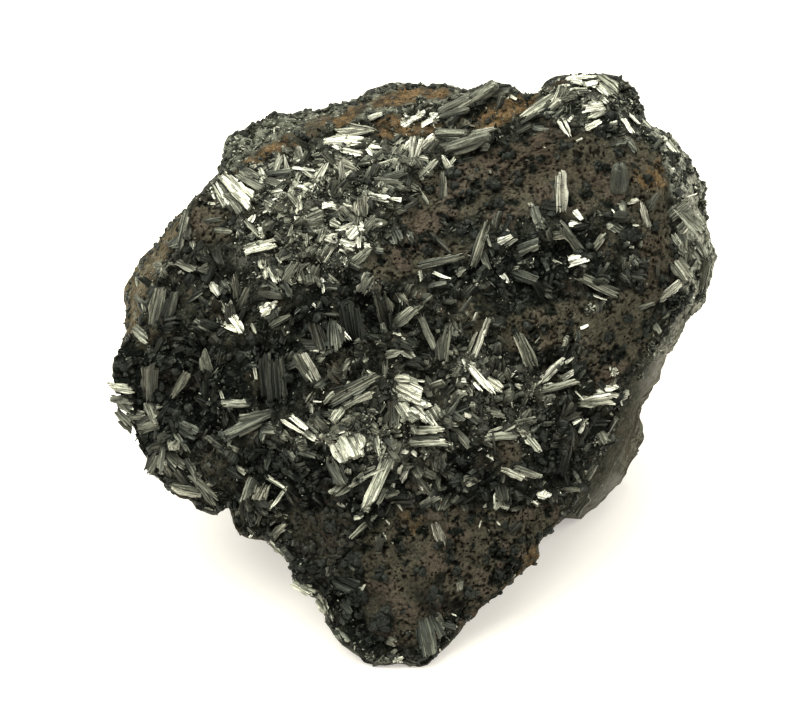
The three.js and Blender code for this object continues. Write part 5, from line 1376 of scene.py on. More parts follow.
# ------------------------------------------------------------------ smaller blades placed one by one
# foot x, y, free end x, y, width, tone and, where it matters, widening towards the free end
PLACED = [
    (371, 470, 346, 487, 7, 0.6), (400, 408, 416, 420, 11, 0.62), (414, 410, 430, 422, 9, 0.92),
    (574, 81, 585, 84, 7, 1.0), (578, 77, 597, 77, 4, 0.94), (584, 84, 597, 86, 5, 1.0), (563, 86, 570, 85, 3, 0.95), (570, 90, 577, 89, 3, 0.95),
    (577, 93, 592, 92, 2.5, 0.8), (541, 112, 561, 97, 10, 0.78), (326, 142, 352, 143, 10, 0.97), (344, 151, 362, 155, 7, 0.85), (338, 134, 376, 129, 8, 0.60),
    (680, 208, 702, 232, 17, 0.56), (676, 262, 690, 282, 14, 0.58), (692, 244, 706, 262, 12, 0.52), (674, 236, 688, 256, 12, 0.5), (663, 137, 668, 141, 4, 0.9), (668, 143, 678, 157, 6, 0.9),
    (122, 402, 133, 412, 10, 0.30), (128, 416, 146, 414, 8, 0.52), (150, 404, 158, 422, 13, 0.52), (140, 428, 160, 424, 9, 0.46),
    (122, 420, 134, 432, 8, 0.36), (150, 470, 160, 450, 11, 0.46), (163, 452, 180, 472, 12, 0.30), (172, 484, 196, 494, 14, 0.44), (196, 478, 216, 508, 9, 0.36),
    (297, 582, 312, 590, 7, 0.52), (316, 592, 326, 606, 6, 0.46), (326, 608, 334, 622, 5, 0.42), (338, 628, 348, 642, 4, 0.38),
    (211, 188, 216, 201, 3, 0.8), (208, 203, 216, 204, 3, 0.7), (216, 187, 220, 202, 3, 0.42), (240, 175, 258, 187, 10, 0.5),
    (250, 173, 262, 184, 6, 0.8), (260, 170, 264, 181, 6, 0.82), (265, 170, 278, 162, 8, 0.42), (275, 172, 281, 155, 7, 0.68, 0.5),
    (287, 170, 284, 153, 4, 0.8, -0.8), (298, 175, 290, 195, 6, 0.58), (298, 185, 283, 207, 4, 0.55), (294, 188, 280, 206, 3, 0.65),
    (293, 168, 318, 171, 3, 0.92, -0.6), (267, 175, 296, 172, 9, 0.34), (268, 180, 284, 181, 3, 0.78), (262, 178, 282, 186, 7, 0.36),
    (273, 193, 284, 191, 5, 0.82), (279, 187, 286, 186, 2, 0.92), (273, 200, 278, 198, 2, 0.92), (303, 190, 314, 184, 8, 0.74),
    (300, 187, 317, 190, 6, 0.68), (296, 200, 300, 215, 9, 0.6), (297, 218, 299, 225, 5, 0.92), (267, 201, 276, 206, 7, 0.46),
    (266, 208, 271, 213, 1.5, 0.88), (265, 205, 272, 216, 5, 0.38), (251, 220, 255, 213, 6, 0.97), (280, 214, 286, 215, 6, 0.78),
    (247, 222, 262, 239, 6, 0.42), (251, 226, 257, 236, 4, 0.6), (254, 232, 263, 239, 3, 0.62), (238, 236, 239, 229, 4, 0.88),
    (277, 255, 281, 265, 4, 0.82), (262, 262, 267, 280, 7, 0.6), (270, 268, 278, 283, 8, 0.68, 0.4), (285, 280, 297, 262, 10, 0.48, 0.4),
    (283, 284, 295, 300, 8, 0.3), (238, 298, 234, 270, 8, 0.4, -0.3), (238, 310, 248, 288, 7, 0.4), (212, 284, 220, 297, 7, 0.8),
    (225, 325, 240, 331, 6, 0.82), (263, 312, 277, 304, 8, 0.92), (268, 318, 282, 308, 8, 0.48), (272, 325, 292, 315, 8, 0.38),
    (252, 325, 256, 335, 4, 0.6), (170, 310, 179, 292, 5, 0.3), (192, 243, 196, 252, 5, 0.88), (177, 262, 195, 270, 8, 0.44),
    (155, 276, 170, 262, 6, 0.38), (143, 300, 145, 312, 4, 0.48), (138, 278, 138, 290, 5, 0.3), (152, 285, 156, 292, 4, 0.48),
    (215, 230, 232, 232, 5, 0.24), (200, 222, 225, 218, 4, 0.2), (285, 335, 290, 331, 2, 0.82), (313, 304, 317, 308, 3, 0.97),
    (112, 398, 136, 403, 6, 0.3), (120, 405, 137, 408, 5, 0.6), (118, 412, 132, 426, 8, 0.45), (136, 330, 152, 345, 10, 0.32),
    (150, 398, 150, 362, 16, 0.3, 0.5), (150, 411, 163, 404, 6, 0.72), (140, 425, 160, 412, 10, 0.5), (173, 395, 190, 370, 9, 0.5, 0.4),
    (254, 366, 257, 382, 3, 0.88), (293, 355, 314, 383, 8, 0.46), (220, 390, 223, 399, 3, 0.6), (243, 425, 262, 412, 10, 0.34),
    (163, 445, 160, 472, 8, 0.5), (172, 428, 190, 455, 5, 0.45), (170, 440, 182, 452, 8, 0.34), (180, 425, 198, 435, 12, 0.24),
    (172, 455, 188, 470, 8, 0.34), (188, 460, 200, 480, 8, 0.16), (192, 475, 220, 500, 6, 0.48), (236, 467, 248, 475, 6, 0.67),
    (268, 478, 284, 488, 4, 0.78), (286, 488, 270, 510, 4, 0.82), (253, 480, 243, 505, 9, 0.3), (270, 445, 276, 448, 6, 0.34),
    (298, 450, 320, 458, 7, 0.26), (204, 508, 216, 512, 6, 0.34), (158, 470, 165, 475, 6, 0.34), (250, 442, 258, 430, 3, 0.48),
    (326, 142, 346, 139, 7, 1), (343, 137, 366, 139, 5, 0.94), (346, 143, 368, 142, 6, 1), (332, 143, 343, 150, 6, 0.97),
    (366, 146, 382, 147, 4, 0.88), (369, 150, 374, 156, 7, 1), (352, 128, 374, 132, 8, 0.46), (370, 118, 382, 113, 6, 0.74),
    (301, 162, 296, 145, 7, 0.6, 0.3), (303, 163, 308, 150, 6, 0.38), (318, 178, 329, 160, 8, 0.92, -0.4), (342, 178, 341, 160, 6, 0.72, -0.5),
    (332, 196, 356, 172, 8, 0.38), (330, 195, 336, 178, 8, 0.44), (343, 162, 360, 170, 10, 0.38), (305, 172, 315, 180, 6, 0.72),
    (406, 149, 417, 137, 8, 0.92, 0.4), (412, 158, 414, 137, 7, 0.9), (417, 155, 423, 138, 6, 0.92), (425, 148, 435, 138, 12, 1, 0.3),
    (420, 158, 430, 160, 6, 0.55), (421, 176, 438, 158, 8, 0.56), (449, 167, 441, 155, 6, 0.88), (449, 166, 455, 158, 5, 0.68),
    (375, 181, 405, 182, 7, 0.32, -0.2), (403, 182, 420, 190, 9, 0.36), (419, 189, 429, 205, 4, 0.38), (385, 178, 412, 171, 7, 0.34),
    (408, 172, 420, 166, 8, 0.32), (396, 173, 398, 162, 3, 0.82), (401, 172, 402, 162, 4, 0.82), (380, 165, 400, 158, 4, 0.5),
    (374, 156, 383, 150, 4, 0.44), (390, 155, 395, 152, 6, 0.44), (387, 188, 394, 192, 8, 0.34), (371, 197, 392, 200, 9, 0.98, 0.2),
    (392, 199, 402, 200, 4, 0.95), (361, 214, 359, 192, 13, 0.6, 0.5), (323, 207, 332, 203, 6, 0.98), (330, 206, 343, 210, 8, 1),
    (310, 212, 322, 208, 7, 0.52), (347, 212, 360, 224, 9, 0.38), (338, 215, 345, 222, 6, 0.44), (346, 228, 365, 228, 5, 0.98),
    (350, 236, 358, 229, 12, 1), (342, 242, 355, 246, 7, 0.95), (346, 248, 355, 250, 4, 0.85), (332, 222, 340, 226, 8, 0.82),
    (320, 232, 322, 225, 8, 0.56), (328, 236, 330, 230, 5, 0.56), (365, 228, 376, 216, 9, 0.44), (374, 225, 384, 224, 3, 0.98),
    (355, 262, 372, 248, 10, 0.56), (365, 245, 372, 248, 5, 0.82), (321, 258, 333, 245, 8, 0.48), (325, 262, 333, 248, 2, 0.82),
    (312, 275, 318, 262, 8, 0.44), (302, 268, 312, 262, 6, 0.44), (430, 232, 452, 254, 4, 0.24), (322, 278, 324, 294, 3, 0.88),
    (362, 291, 371, 273, 12, 0.56, 0.4), (325, 286, 345, 286, 10, 0.24), (355, 338, 350, 300, 22, 0.17, 0.5), (385, 322, 380, 292, 20, 0.24, 0.6),
    (395, 291, 411, 306, 7, 0.44), (395, 291, 405, 308, 2, 0.82), (411, 300, 417, 288, 4, 0.44), (406, 292, 412, 282, 5, 0.34),
    (420, 272, 421, 282, 4, 0.56), (423, 300, 433, 292, 7, 0.38), (387, 320, 391, 319, 2, 0.88), (390, 325, 394, 324, 4, 0.88),
    (394, 333, 403, 335, 3, 0.82), (434, 273, 452, 281, 3, 0.9), (440, 284, 452, 287, 7, 0.38), (462, 277, 466, 270, 4, 0.44),
    (335, 322, 338, 356, 20, 0.38, 0.6), (337, 325, 350, 341, 4, 0.94), (315, 325, 325, 358, 16, 0.22, 0.4), (340, 375, 350, 363, 9, 0.34),
    (352, 366, 360, 360, 6, 0.34), (368, 371, 377, 378, 3, 0.82), (347, 385, 350, 380, 3, 0.82), (388, 355, 405, 350, 7, 0.72),
    (405, 352, 420, 362, 8, 0.48), (410, 360, 424, 370, 8, 0.52), (404, 338, 408, 341, 6, 0.95), (409, 340, 414, 345, 2, 0.7),
    (421, 317, 435, 351, 7, 0.5), (443, 358, 447, 322, 12, 0.38, 0.3), (455, 340, 452, 320, 10, 0.3), (462, 335, 458, 320, 8, 0.3),
    (442, 325, 444, 326, 3, 0.82), (397, 378, 412, 379, 8, 0.62), (418, 381, 427, 382, 3, 0.97), (463, 360, 466, 368, 3, 0.82),
    (455, 375, 460, 365, 7, 0.38), (457, 383, 458, 378, 2, 0.88), (463, 380, 467, 380, 6, 0.74), (455, 395, 463, 390, 6, 0.72),
    (443, 363, 446, 361, 2, 0.82), (401, 406, 410, 421, 12, 0.7), (420, 409, 414, 416, 7, 0.95), (421, 413, 426, 423, 6, 0.98),
    (425, 414, 434, 426, 7, 1), (423, 405, 433, 404, 7, 0.96), (433, 409, 440, 420, 9, 0.76), (394, 426, 398, 434, 3, 0.92),
    (394, 402, 393, 428, 9, 0.28), (393, 389, 395, 392, 2, 0.82), (396, 391, 399, 394, 2, 0.88), (411, 423, 416, 434, 5, 0.7),
    (427, 390, 430, 397, 6, 0.38), (414, 365, 423, 370, 4, 0.68), (434, 379, 440, 371, 6, 0.38), (283, 421, 306, 435, 5, 1, -0.3),
    (292, 417, 308, 431, 5, 0.78), (306, 433, 318, 442, 6, 0.94), (308, 423, 322, 434, 8, 0.56), (318, 420, 330, 424, 4, 0.88),
    (324, 424, 331, 428, 4, 0.88), (325, 437, 340, 437, 5, 0.44), (334, 430, 357, 416, 9, 0.5, -0.2), (337, 432, 352, 427, 5, 0.88),
    (346, 458, 358, 475, 6, 0.34), (333, 464, 345, 485, 13, 0.24), (338, 503, 344, 507, 3, 0.82), (359, 482, 364, 488, 3, 0.94),
    (359, 478, 385, 468, 5, 0.78), (360, 473, 378, 467, 4, 0.56), (375, 478, 390, 468, 5, 0.88), (362, 508, 370, 511, 8, 0.7),
    (355, 518, 363, 517, 4, 0.78), (391, 467, 396, 442, 5, 0.78), (390, 449, 391, 435, 1.5, 0.9), (374, 430, 379, 456, 7, 0.6),
    (386, 440, 378, 464, 4, 0.6), (380, 432, 388, 425, 5, 0.6), (402, 479, 410, 467, 7, 0.92), (399, 472, 402, 462, 5, 0.74),
    (392, 488, 394, 482, 4, 0.88), (387, 495, 401, 492, 6, 0.48), (401, 452, 410, 451, 5, 1), (413, 452, 418, 457, 4, 0.94),
    (313, 401, 323, 402, 2, 0.92), (311, 405, 312, 415, 5, 0.56), (330, 412, 343, 413, 7, 0.38), (325, 402, 334, 393, 6, 0.52),
    (345, 406, 376, 391, 7, 0.52), (417, 412, 422, 410, 4, 0.98), (447, 411, 463, 420, 8, 0.38), (453, 428, 471, 448, 6, 0.6),
    (449, 402, 453, 400, 2, 0.92), (460, 396, 468, 393, 3, 0.7), (437, 458, 446, 472, 9, 0.18), (419, 484, 425, 490, 5, 0.78),
    (417, 494, 430, 487, 4, 0.62), (424, 505, 441, 495, 8, 0.44), (386, 520, 390, 525, 1.5, 0.95), (391, 503, 395, 501, 2, 0.88),
    (397, 503, 403, 511, 2, 0.7), (403, 125, 414, 119, 6, 0.95), (409, 121, 423, 116, 7, 0.92), (417, 117, 426, 111, 5, 0.92),
    (424, 125, 436, 119, 7, 0.88), (432, 116, 438, 112, 5, 0.92), (437, 133, 464, 136, 12, 0.42), (470, 132, 497, 127, 2.5, 0.8),
    (501, 90, 517, 99, 3, 0.74), (508, 92, 522, 89, 4, 0.3), (568, 80, 590, 76, 6, 0.98), (585, 85, 597, 83, 6, 1), (563, 87, 571, 84, 4, 0.85),
    (570, 91, 592, 91, 5, 0.5), (588, 128, 603, 119, 7, 0.76), (577, 141, 583, 138, 3, 0.95), (590, 98, 598, 104, 5, 0.48),
    (499, 242, 514, 235, 6, 0.95, -0.3), (507, 230, 511, 235, 2.5, 0.98), (506, 245, 520, 236, 6, 0.44), (533, 207, 541, 232, 8, 0.38),
    (520, 251, 538, 243, 10, 0.32), (543, 237, 566, 234, 9, 0.3), (575, 212, 583, 220, 5, 1), (571, 224, 588, 227, 5, 1, -0.5),
    (571, 259, 584, 256, 7, 0.94), (571, 265, 592, 258, 6, 0.98), (593, 295, 608, 301, 2, 1), (595, 247, 606, 234, 6, 0.5),
    (608, 226, 613, 222, 6, 0.62), (612, 210, 620, 220, 1.5, 1), (581, 328, 589, 325, 3, 0.95), (472, 324, 478, 311, 3, 0.82),
    (487, 236, 491, 248, 3, 0.6), (481, 252, 489, 268, 8, 0.3), (483, 275, 496, 287, 1.5, 0.62), (502, 290, 509, 301, 1.5, 0.62),
    (503, 276, 508, 283, 4, 0.98), (513, 272, 540, 283, 9, 0.32), (458, 273, 465, 268, 6, 0.52), (520, 262, 535, 262, 4, 0.52),
    (499, 375, 500, 357, 12, 0.26), (535, 343, 541, 336, 1.5, 0.62), (538, 350, 541, 347, 1.5, 0.82), (565, 363, 577, 356, 3, 0.78),
    (561, 380, 582, 368, 6, 0.92), (536, 386, 543, 379, 2, 0.78), (575, 391, 584, 400, 1.5, 0.74), (620, 398, 622, 406, 2, 0.88),
    (609, 365, 611, 371, 2, 0.92), (574, 423, 582, 419, 4, 0.94), (582, 419, 588, 424, 3, 0.94), (580, 432, 585, 422, 4, 1),
    (530, 433, 537, 437, 3, 0.88), (458, 397, 466, 392, 5, 0.65), (469, 392, 472, 396, 2, 0.88), (499, 403, 504, 405, 5, 0.56),
    (486, 398, 490, 404, 5, 0.48), (493, 412, 508, 417, 8, 0.48), (510, 400, 513, 408, 2, 0.82), (547, 404, 553, 403, 2.5, 0.95),
    (545, 399, 556, 396, 7, 0.38), (529, 410, 531, 414, 2, 0.92), (524, 416, 527, 420, 4, 0.6), (503, 470, 527, 480, 7, 0.6),
    (516, 469, 540, 477, 8, 0.46), (488, 455, 495, 460, 3, 0.7), (478, 450, 482, 448, 2, 0.88), (560, 470, 571, 430, 16, 0.18, -0.3),
    (573, 470, 580, 482, 5, 0.46), (642, 121, 652, 129, 4, 0.72), (662, 138, 668, 141, 4, 0.98), (667, 144, 678, 157, 5, 0.98),
    (672, 140, 679, 149, 6, 0.62), (628, 203, 640, 199, 4, 0.72), (650, 208, 658, 195, 6, 0.42), (633, 225, 639, 226, 2, 0.82),
    (631, 222, 634, 220, 2, 0.82), (630, 247, 635, 248, 3, 0.82), (672, 216, 690, 203, 13, 0.52), (680, 231, 697, 213, 10, 0.54),
    (685, 198, 697, 194, 2, 0.8), (690, 222, 700, 215, 4, 0.82), (684, 259, 684, 237, 13, 0.6), (682, 263, 690, 268, 3, 0.88),
    (705, 240, 711, 233, 3, 0.8), (700, 286, 707, 254, 13, 0.52), (683, 281, 691, 274, 3, 0.74), (691, 294, 695, 299, 2, 0.92),
    (640, 308, 656, 303, 5, 0.44), (655, 325, 660, 334, 5, 0.56), (690, 312, 700, 299, 8, 0.5), (267, 508, 272, 500, 5, 0.7),
    (272, 508, 277, 514, 2.5, 0.98), (271, 524, 277, 521, 3, 0.94), (277, 516, 283, 512, 4, 0.44), (270, 541, 289, 520, 9, 0.6),
    (250, 537, 256, 531, 3, 1), (237, 514, 243, 500, 6, 0.36), (273, 543, 286, 556, 7, 0.56), (295, 583, 314, 595, 9, 0.56),
    (311, 596, 319, 599, 2, 0.88), (321, 601, 329, 618, 8, 0.6), (327, 622, 343, 643, 5, 0.46), (343, 643, 362, 656, 5, 0.42),
    (394, 661, 403, 657, 4, 0.94), (374, 664, 395, 659, 5, 0.46), (355, 589, 362, 587, 2, 0.82), (361, 590, 366, 583, 3, 0.88),
    (306, 580, 309, 576, 2, 0.92), (376, 553, 381, 553, 1.5, 0.82), (383, 533, 387, 539, 1.5, 0.88), (392, 542, 394, 544, 1.5, 0.98),
    (378, 548, 382, 530, 8, 0.2), (344, 604, 352, 614, 6, 0.24), (539, 494, 551, 497, 7, 1), (542, 496, 545, 490, 8, 1),
    (533, 502, 539, 505, 3, 0.88), (491, 486, 492, 491, 2, 0.62), (498, 506, 510, 508, 4, 0.72), (503, 500, 507, 507, 6, 0.72),
    (481, 521, 479, 528, 1.5, 0.98), (497, 522, 501, 526, 1.8, 0.98), (422, 506, 435, 497, 6, 0.44), (452, 614, 457, 616, 1.5, 0.88),
    (446, 631, 437, 615, 8, 0.32, 0.3), (453, 624, 458, 628, 2, 0.7), (445, 636, 450, 641, 1.5, 0.92), (513, 577, 516, 574, 2, 0.8),
    (660, 356, 667, 353, 2.5, 0.72), (651, 361, 661, 360, 2, 0.66), (601, 434, 607, 443, 8, 0.58), (611, 427, 615, 424, 2, 0.88),
    (586, 477, 599, 462, 9, 0.46), (575, 512, 588, 496, 10, 0.38),
]
# clumps of small grains: x, y, radius, tone
CLUMPS = [
    (330, 127, 6, 0.62), (335, 262, 11, 0.62), (343, 262, 5, 0.90), (370, 416, 7, 0.55), (403, 438, 7, 0.24), (479, 283, 5, 0.58),
    (590, 309, 5, 0.60), (463, 367, 6, 0.60), (463, 383, 4, 0.78), (613, 372, 3.5, 0.85), (376, 434, 5, 0.62), (378, 445, 5, 0.64),
    (381, 456, 5, 0.60), (410, 497, 5, 0.50), (683, 300, 9, 0.42), (676, 310, 7, 0.38), (690, 290, 6, 0.45), (496, 262, 7, 0.46),
    (529, 263, 5, 0.50), (427, 487, 3.5, 0.80), (408, 122, 7, 0.88), (420, 117, 7, 0.90), (432, 121, 6, 0.86), (421, 101, 6, 0.55),
    (262, 226, 6, 0.50), (274, 222, 6, 0.46), (286, 228, 6, 0.52), (300, 240, 6, 0.50), (314, 246, 6, 0.58), (300, 256, 6, 0.46),
    (286, 246, 6, 0.40), (318, 218, 5, 0.56), (284, 199, 5, 0.60), (312, 196, 5, 0.62), (322, 188, 5, 0.58), (300, 206, 4, 0.5),
    (376, 206, 5, 0.42), (392, 168, 5, 0.44), (382, 172, 4, 0.40), (360, 184, 6, 0.40), (348, 196, 5, 0.44), (312, 168, 5, 0.44),
    (290, 178, 5, 0.40), (258, 200, 4, 0.5), (590, 118, 6, 0.6), (607, 96, 5, 0.6), (630, 96, 6, 0.42), (634, 108, 5, 0.46),
    (572, 98, 6, 0.5), (556, 92, 5, 0.42), (618, 86, 5, 0.45), (582, 424, 5, 0.72), (549, 401, 5, 0.46), (535, 412, 5, 0.40),
    (502, 503, 4, 0.60), (536, 503, 3, 0.78), (446, 628, 6, 0.42), (398, 659, 4, 0.85), (370, 656, 5, 0.50), (384, 661, 4, 0.55),
    (298, 572, 5, 0.32), (301, 560, 5, 0.2), (640, 376, 4, 0.62), (570, 488, 5, 0.55), (600, 452, 5, 0.44), (598, 440, 4, 0.5),
    (330, 434, 4, 0.7), (350, 430, 4, 0.6), (366, 428, 4, 0.5), (386, 430, 4, 0.62), (300, 440, 4, 0.5), (414, 300, 4, 0.4),
    (545, 93, 5, 0.56), (564, 90, 5, 0.66), (583, 104, 6, 0.6), (612, 104, 6, 0.56), (626, 104, 6, 0.56), (634, 118, 5, 0.56), (641, 124, 4, 0.66),
    (700, 230, 7, 0.5), (690, 248, 6, 0.58), (700, 205, 7, 0.45), (695, 190, 6, 0.48), (688, 172, 5, 0.42), (676, 158, 5, 0.55),
    (668, 140, 4, 0.6), (696, 275, 6, 0.5), (705, 262, 6, 0.55), (698, 298, 6, 0.5), (688, 262, 4, 0.5), (650, 345, 5, 0.45),
]


LIGHTWARD = EZ * math.cos(28 * DEG) + EY * math.sin(28 * DEG)


def lying(fx, fy, ex, ey, lean, tilt, sink=0.25):
    """Foot and free end of a blade that lies on the lump's own surface, seen at those drawing positions."""
    a = land(fx, fy)
    if a is None:
        a = standing(local(np.float64(fx), np.float64(fy), relief(np.float64(fx), np.float64(fy))))
    _, _, w0 = drawn(a)
    reach = UNIT * math.hypot(ex - fx, ey - fy)
    b = standing(local(np.float64(ex), np.float64(ey), np.float64(w0 + reach * math.tan(lean * DEG))))
    up = EZ * math.cos(tilt * DEG) + EY * math.sin(tilt * DEG)
    return a - EZ * sink, b - EZ * sink * 0.3, up


pile = Pile()
for fx, fy, ex, ey, width, tone, *more in PLACED:
    lean = rng.uniform(8, 20)
    tilt = -8 + 38 * tone + rng.normal(0, 4)
    a, b, up = lying(fx, fy, ex, ey, lean, tilt, 0.20 - 0.38 * tone)
    b = raised(a, b, 0.10, 2.0)
    w = width * UNIT * 1.06
    along = (b - a) / np.linalg.norm(b - a)
    flare = more[0] if more else rng.uniform(-0.45, 0.35)
    # painted highlight and shade shifted by region: darker in the centre, lighter right of centre and to the upper left
    tone = tone - 0.09 * (368 < fx < 460 and 380 < fy < 450) + 0.05 * (450 < fx < 600 and 340 < fy < 460) + 0.03 * (fx < 400 and fy < 300)
    if width <= 2 and fy > 480:
        tone, width = tone * 0.8, width * 0.7
    many = 2 if width >= 15 else 1
    sheaf(pile, rng, a - along * min(0.3, w * 0.3), b, up, w, max(0.16, w * 0.42), many, rng.uniform(1, 7), tone, ragged=rng.uniform(0.08, 0.32),
          barrel=rng.uniform(0, 0.25), bend=rng.normal(0, 0.03), core=False, rust=0.35 * rng.uniform(0, 1) ** 3 * (tone < 0.7), S=4 if width > 6 else 3,
          flare=flare, taper=rng.uniform(0, 0.15))
own(pile.object("crystal_blades_placed"))

pile = Pile()
for x, y, r, tone in CLUMPS:
    tone = tone - 0.1 * (tone < 0.8)
    p = land(x, y)
    if p is None:
        continue
    R = r * UNIT
    knobs(pile, rng, p[None], EZ[None], np.array([R * 0.8]), np.array([0.6]), np.array([max(tone - 0.4, 0.03)]), n=3)
    m = int(10 + 8 * r)
    u = unit(rng.normal(0, 1, (m, 3)) + EZ[None] * 0.7)
    u = np.where((u @ EZ)[:, None] < -0.05, u - 2 * (u @ EZ)[:, None] * EZ[None], u)
    at = p[None] + u * R * rng.uniform(0.45, 0.95, (m, 1)) * (1 - 0.3 * np.abs(u @ EZ))[:, None]
    ln, wd = rng.uniform(0.22, 0.62, m), rng.uniform(0.18, 0.5, m)
    tn = clamp01(tone + rng.normal(0, 0.2, m) - 0.25 * (rng.uniform(0, 1, m) < 0.3))
    grains(pile, rng, at, unit(u + rng.normal(0, 0.6, (m, 3))), LIGHTWARD[None] + rng.normal(0, 0.5, (m, 3)), ln, wd, wd * rng.uniform(0.4, 0.9, m), tn)
own(pile.object("crystal_clumps"))

# ------------------------------------------------------------------ scattered blades, needles and grains
tri_a, tri_b, tri_c = LV[LT[:, 0]], LV[LT[:, 1]], LV[LT[:, 2]]
tri_n = np.cross(tri_b - tri_a, tri_c - tri_a)
tri_area = np.linalg.norm(tri_n, axis=1) / 2
tri_mean = {k: v[LT].mean(1) for k, v in LA.items()}
tri_x, tri_y = LX[LT].mean(1), LY[LT].mean(1)
face_tri = LCAD[LT].mean(1) < CAD_RINGS[0] * 1.02
EDGE = [row[:2] for row in OUTLINE]


def scatter(rng, weight, count):
    p = weight * tri_area
    p = p / p.sum()
    t = rng.choice(len(p), count, p=p)
    u, v = rng.uniform(0, 1, (2, count))
    sw = u + v > 1
    u, v = np.where(sw, 1 - u, u), np.where(sw, 1 - v, v)
    pos = tri_a[t] + (tri_b - tri_a)[t] * u[:, None] + (tri_c - tri_a)[t] * v[:, None]
    nrm = unit(LN[LT[t]].mean(1))
    return pos, nrm, t


def tangent_dirs(rng, nrm, lean_lo, lean_hi):
    n = len(nrm)
    r = unit(rng.normal(0, 1, (n, 3)))
    tan = unit(r - (r * nrm).sum(-1, keepdims=True) * nrm)
    lean = np.radians(rng.uniform(lean_lo, lean_hi, n))
    return tan * np.cos(lean)[:, None] + nrm * np.sin(lean)[:, None]


def seen_at(p):
    """Drawing positions at which points of the row frame are seen."""
    x, y, _ = drawn(p)
    return x, y


def within(p, margin=0.5):
    """Which points are seen inside the specimen's own outline."""
    x, y = seen_at(p)
    return inside(EDGE, x, y, 3.0) > margin


def broad_side(rng, nrm, tone):
    """Broad sides: bright crystals turn theirs towards the light."""
    return LIGHTWARD[None] * clamp01(tone * 1.4)[:, None] + nrm * 0.7 + rng.normal(0, 0.35, (len(tone), 3))


zs = tri_mean
crust_only = clamp01(inside(CRUST[0], tri_x, tri_y, 3.0) + sum(inside(p, tri_x, tri_y, 3.0) for p in CRUST[1:]))
open_ground = face_tri * (1 - 0.95 * crust_only) * (1 - 0.7 * zs["ochre"])


def tone_at(rng, t, base, spread=0.14, glint_chance=0.05):
    n = len(t)
    v = base + 0.22 * zs["silver"][t] - 0.14 * zs["soot"][t]
    # painted glints: a share of the crystals, chosen at random, is painted much brighter
    return clamp01(v + rng.normal(0, spread, n) + (rng.uniform(0, 1, n) < glint_chance) * 0.4)


def rust_at(rng, t, most=0.9):
    """Brown film on crystals near the crust and the coat."""
    k = zs["crust"][t] * 0.9 + 0.15
    return clamp01(k * rng.uniform(0, 1, len(t)) * most) * (rng.uniform(0, 1, len(t)) < 0.65)


def blades(name, count, weight, lean, size, wide, base, ribs, S, seed_pull=0.5, glint_chance=0.05, thick=0.5, spread=0.14, torn=(0.1, 0.4),
           flare=(-0.5, 0.5), flow=0.0, **kw):
    if flow:
        weight = weight * smooth(clamp01(0.5 + 1.5 * noise(tri_x / 21, tri_y / 21, 33.5)))
    pos, nrm, t = scatter(rng, weight, count)
    ax = tangent_dirs(rng, unit(nrm + EZ * seed_pull), *lean)
    if flow:
        # neighbours grow nearly side by side
        turn = 5.0 * noise(tri_x[t] / 34, tri_y[t] / 34, 44.5) + rng.normal(0, 0.55, count)
        way = unit(EX[None] * np.cos(turn)[:, None] + EY[None] * np.sin(turn)[:, None] - nrm * 0.0)
        rise = np.radians(rng.uniform(*lean, count))
        ax = unit(way - (way * nrm).sum(-1, keepdims=True) * nrm) * np.cos(rise)[:, None] + unit(nrm + EZ * seed_pull) * np.sin(rise)[:, None]
        ax = unit(ax)
    ln, wd = rng.uniform(*size, count), rng.uniform(*wide, count)
    keep = within(pos + ax * (ln * 0.9)[:, None], 0.45) & within(pos, 0.5)
    pos, nrm, t, ax, ln, wd = pos[keep], nrm[keep], t[keep], ax[keep], ln[keep], wd[keep]
    count = len(t)
    tone = tone_at(rng, t, base, spread=spread, glint_chance=glint_chance)
    up = broad_side(rng, nrm, tone)
    pile = Pile()
    plates(pile, rng, pos - ax * (0.15 * ln)[:, None] - nrm * (0.25 * wd)[:, None], ax, up, ln, wd, wd * rng.uniform(thick * 0.7, thick * 1.4, count), tone, ribs=ribs, S=S,
           ragged=rng.uniform(*torn, count), barrel=rng.uniform(0, 0.4, count), bend=rng.normal(0, 0.035, count), ridge=0.30,
           taper=rng.uniform(0, 0.2, count), slant=rng.uniform(-0.5, 0.7, count), rust=rust_at(rng, t), fan=rng.uniform(*flare, count), **kw)
    own(pile.object(name))


blades("crystal_blades_scattered", 330, open_ground * (0.8 + 0.2 * zs["silver"]), (0, 24), (1.9, 3.8), (0.9, 2.4), 0.19, 6, 3, glint_chance=0.03, groove=0.12, spread=0.12, flow=1.0)
blades("crystal_blades_bushy", 430, open_ground * (1.0 - 0.4 * zs["silver"]), (12, 62), (1.8, 4.0), (0.8, 2.1), 0.20, 5, 2, glint_chance=0.04, groove=0.12, spread=0.11, flow=1.0)
blades("crystal_blades_small", 640, open_ground * (0.8 + 0.5 * zs["silver"]) + 0.010 * face_tri, (0, 45), (0.7, 1.9), (0.35, 1.1), 0.14, 3, 2, glint_chance=0.05, groove=0.10,
       spread=0.15)
blades("crystal_flakes", 250, open_ground * zs["silver"] ** 1.5, (0, 55), (0.8, 1.9), (0.6, 1.7), 0.20, 4, 2, glint_chance=0.14, groove=0.14, spread=0.24, torn=(0.2, 0.6))

# grains that make the dark ground
N3 = 6300
pos, nrm, t = scatter(rng, open_ground * (1 + 0.4 * zs["soot"]) + 0.03 * face_tri, N3)
keep = within(pos, 0.4)
pos, nrm, t = pos[keep], nrm[keep], t[keep]
N3 = len(t)
ax = tangent_dirs(rng, unit(nrm + EZ * 0.3), 0, 70)
tone = tone_at(rng, t, 0.045, spread=0.09, glint_chance=0.02)
ln, wd = rng.uniform(0.3, 0.9, N3), rng.uniform(0.28, 0.75, N3)
pile = Pile()
grains(pile, rng, pos - ax * 0.2, ax, broad_side(rng, nrm, tone), ln, wd, wd * rng.uniform(0.5, 1.0, N3), tone, rust=rust_at(rng, t))
own(pile.object("crystal_grains"))
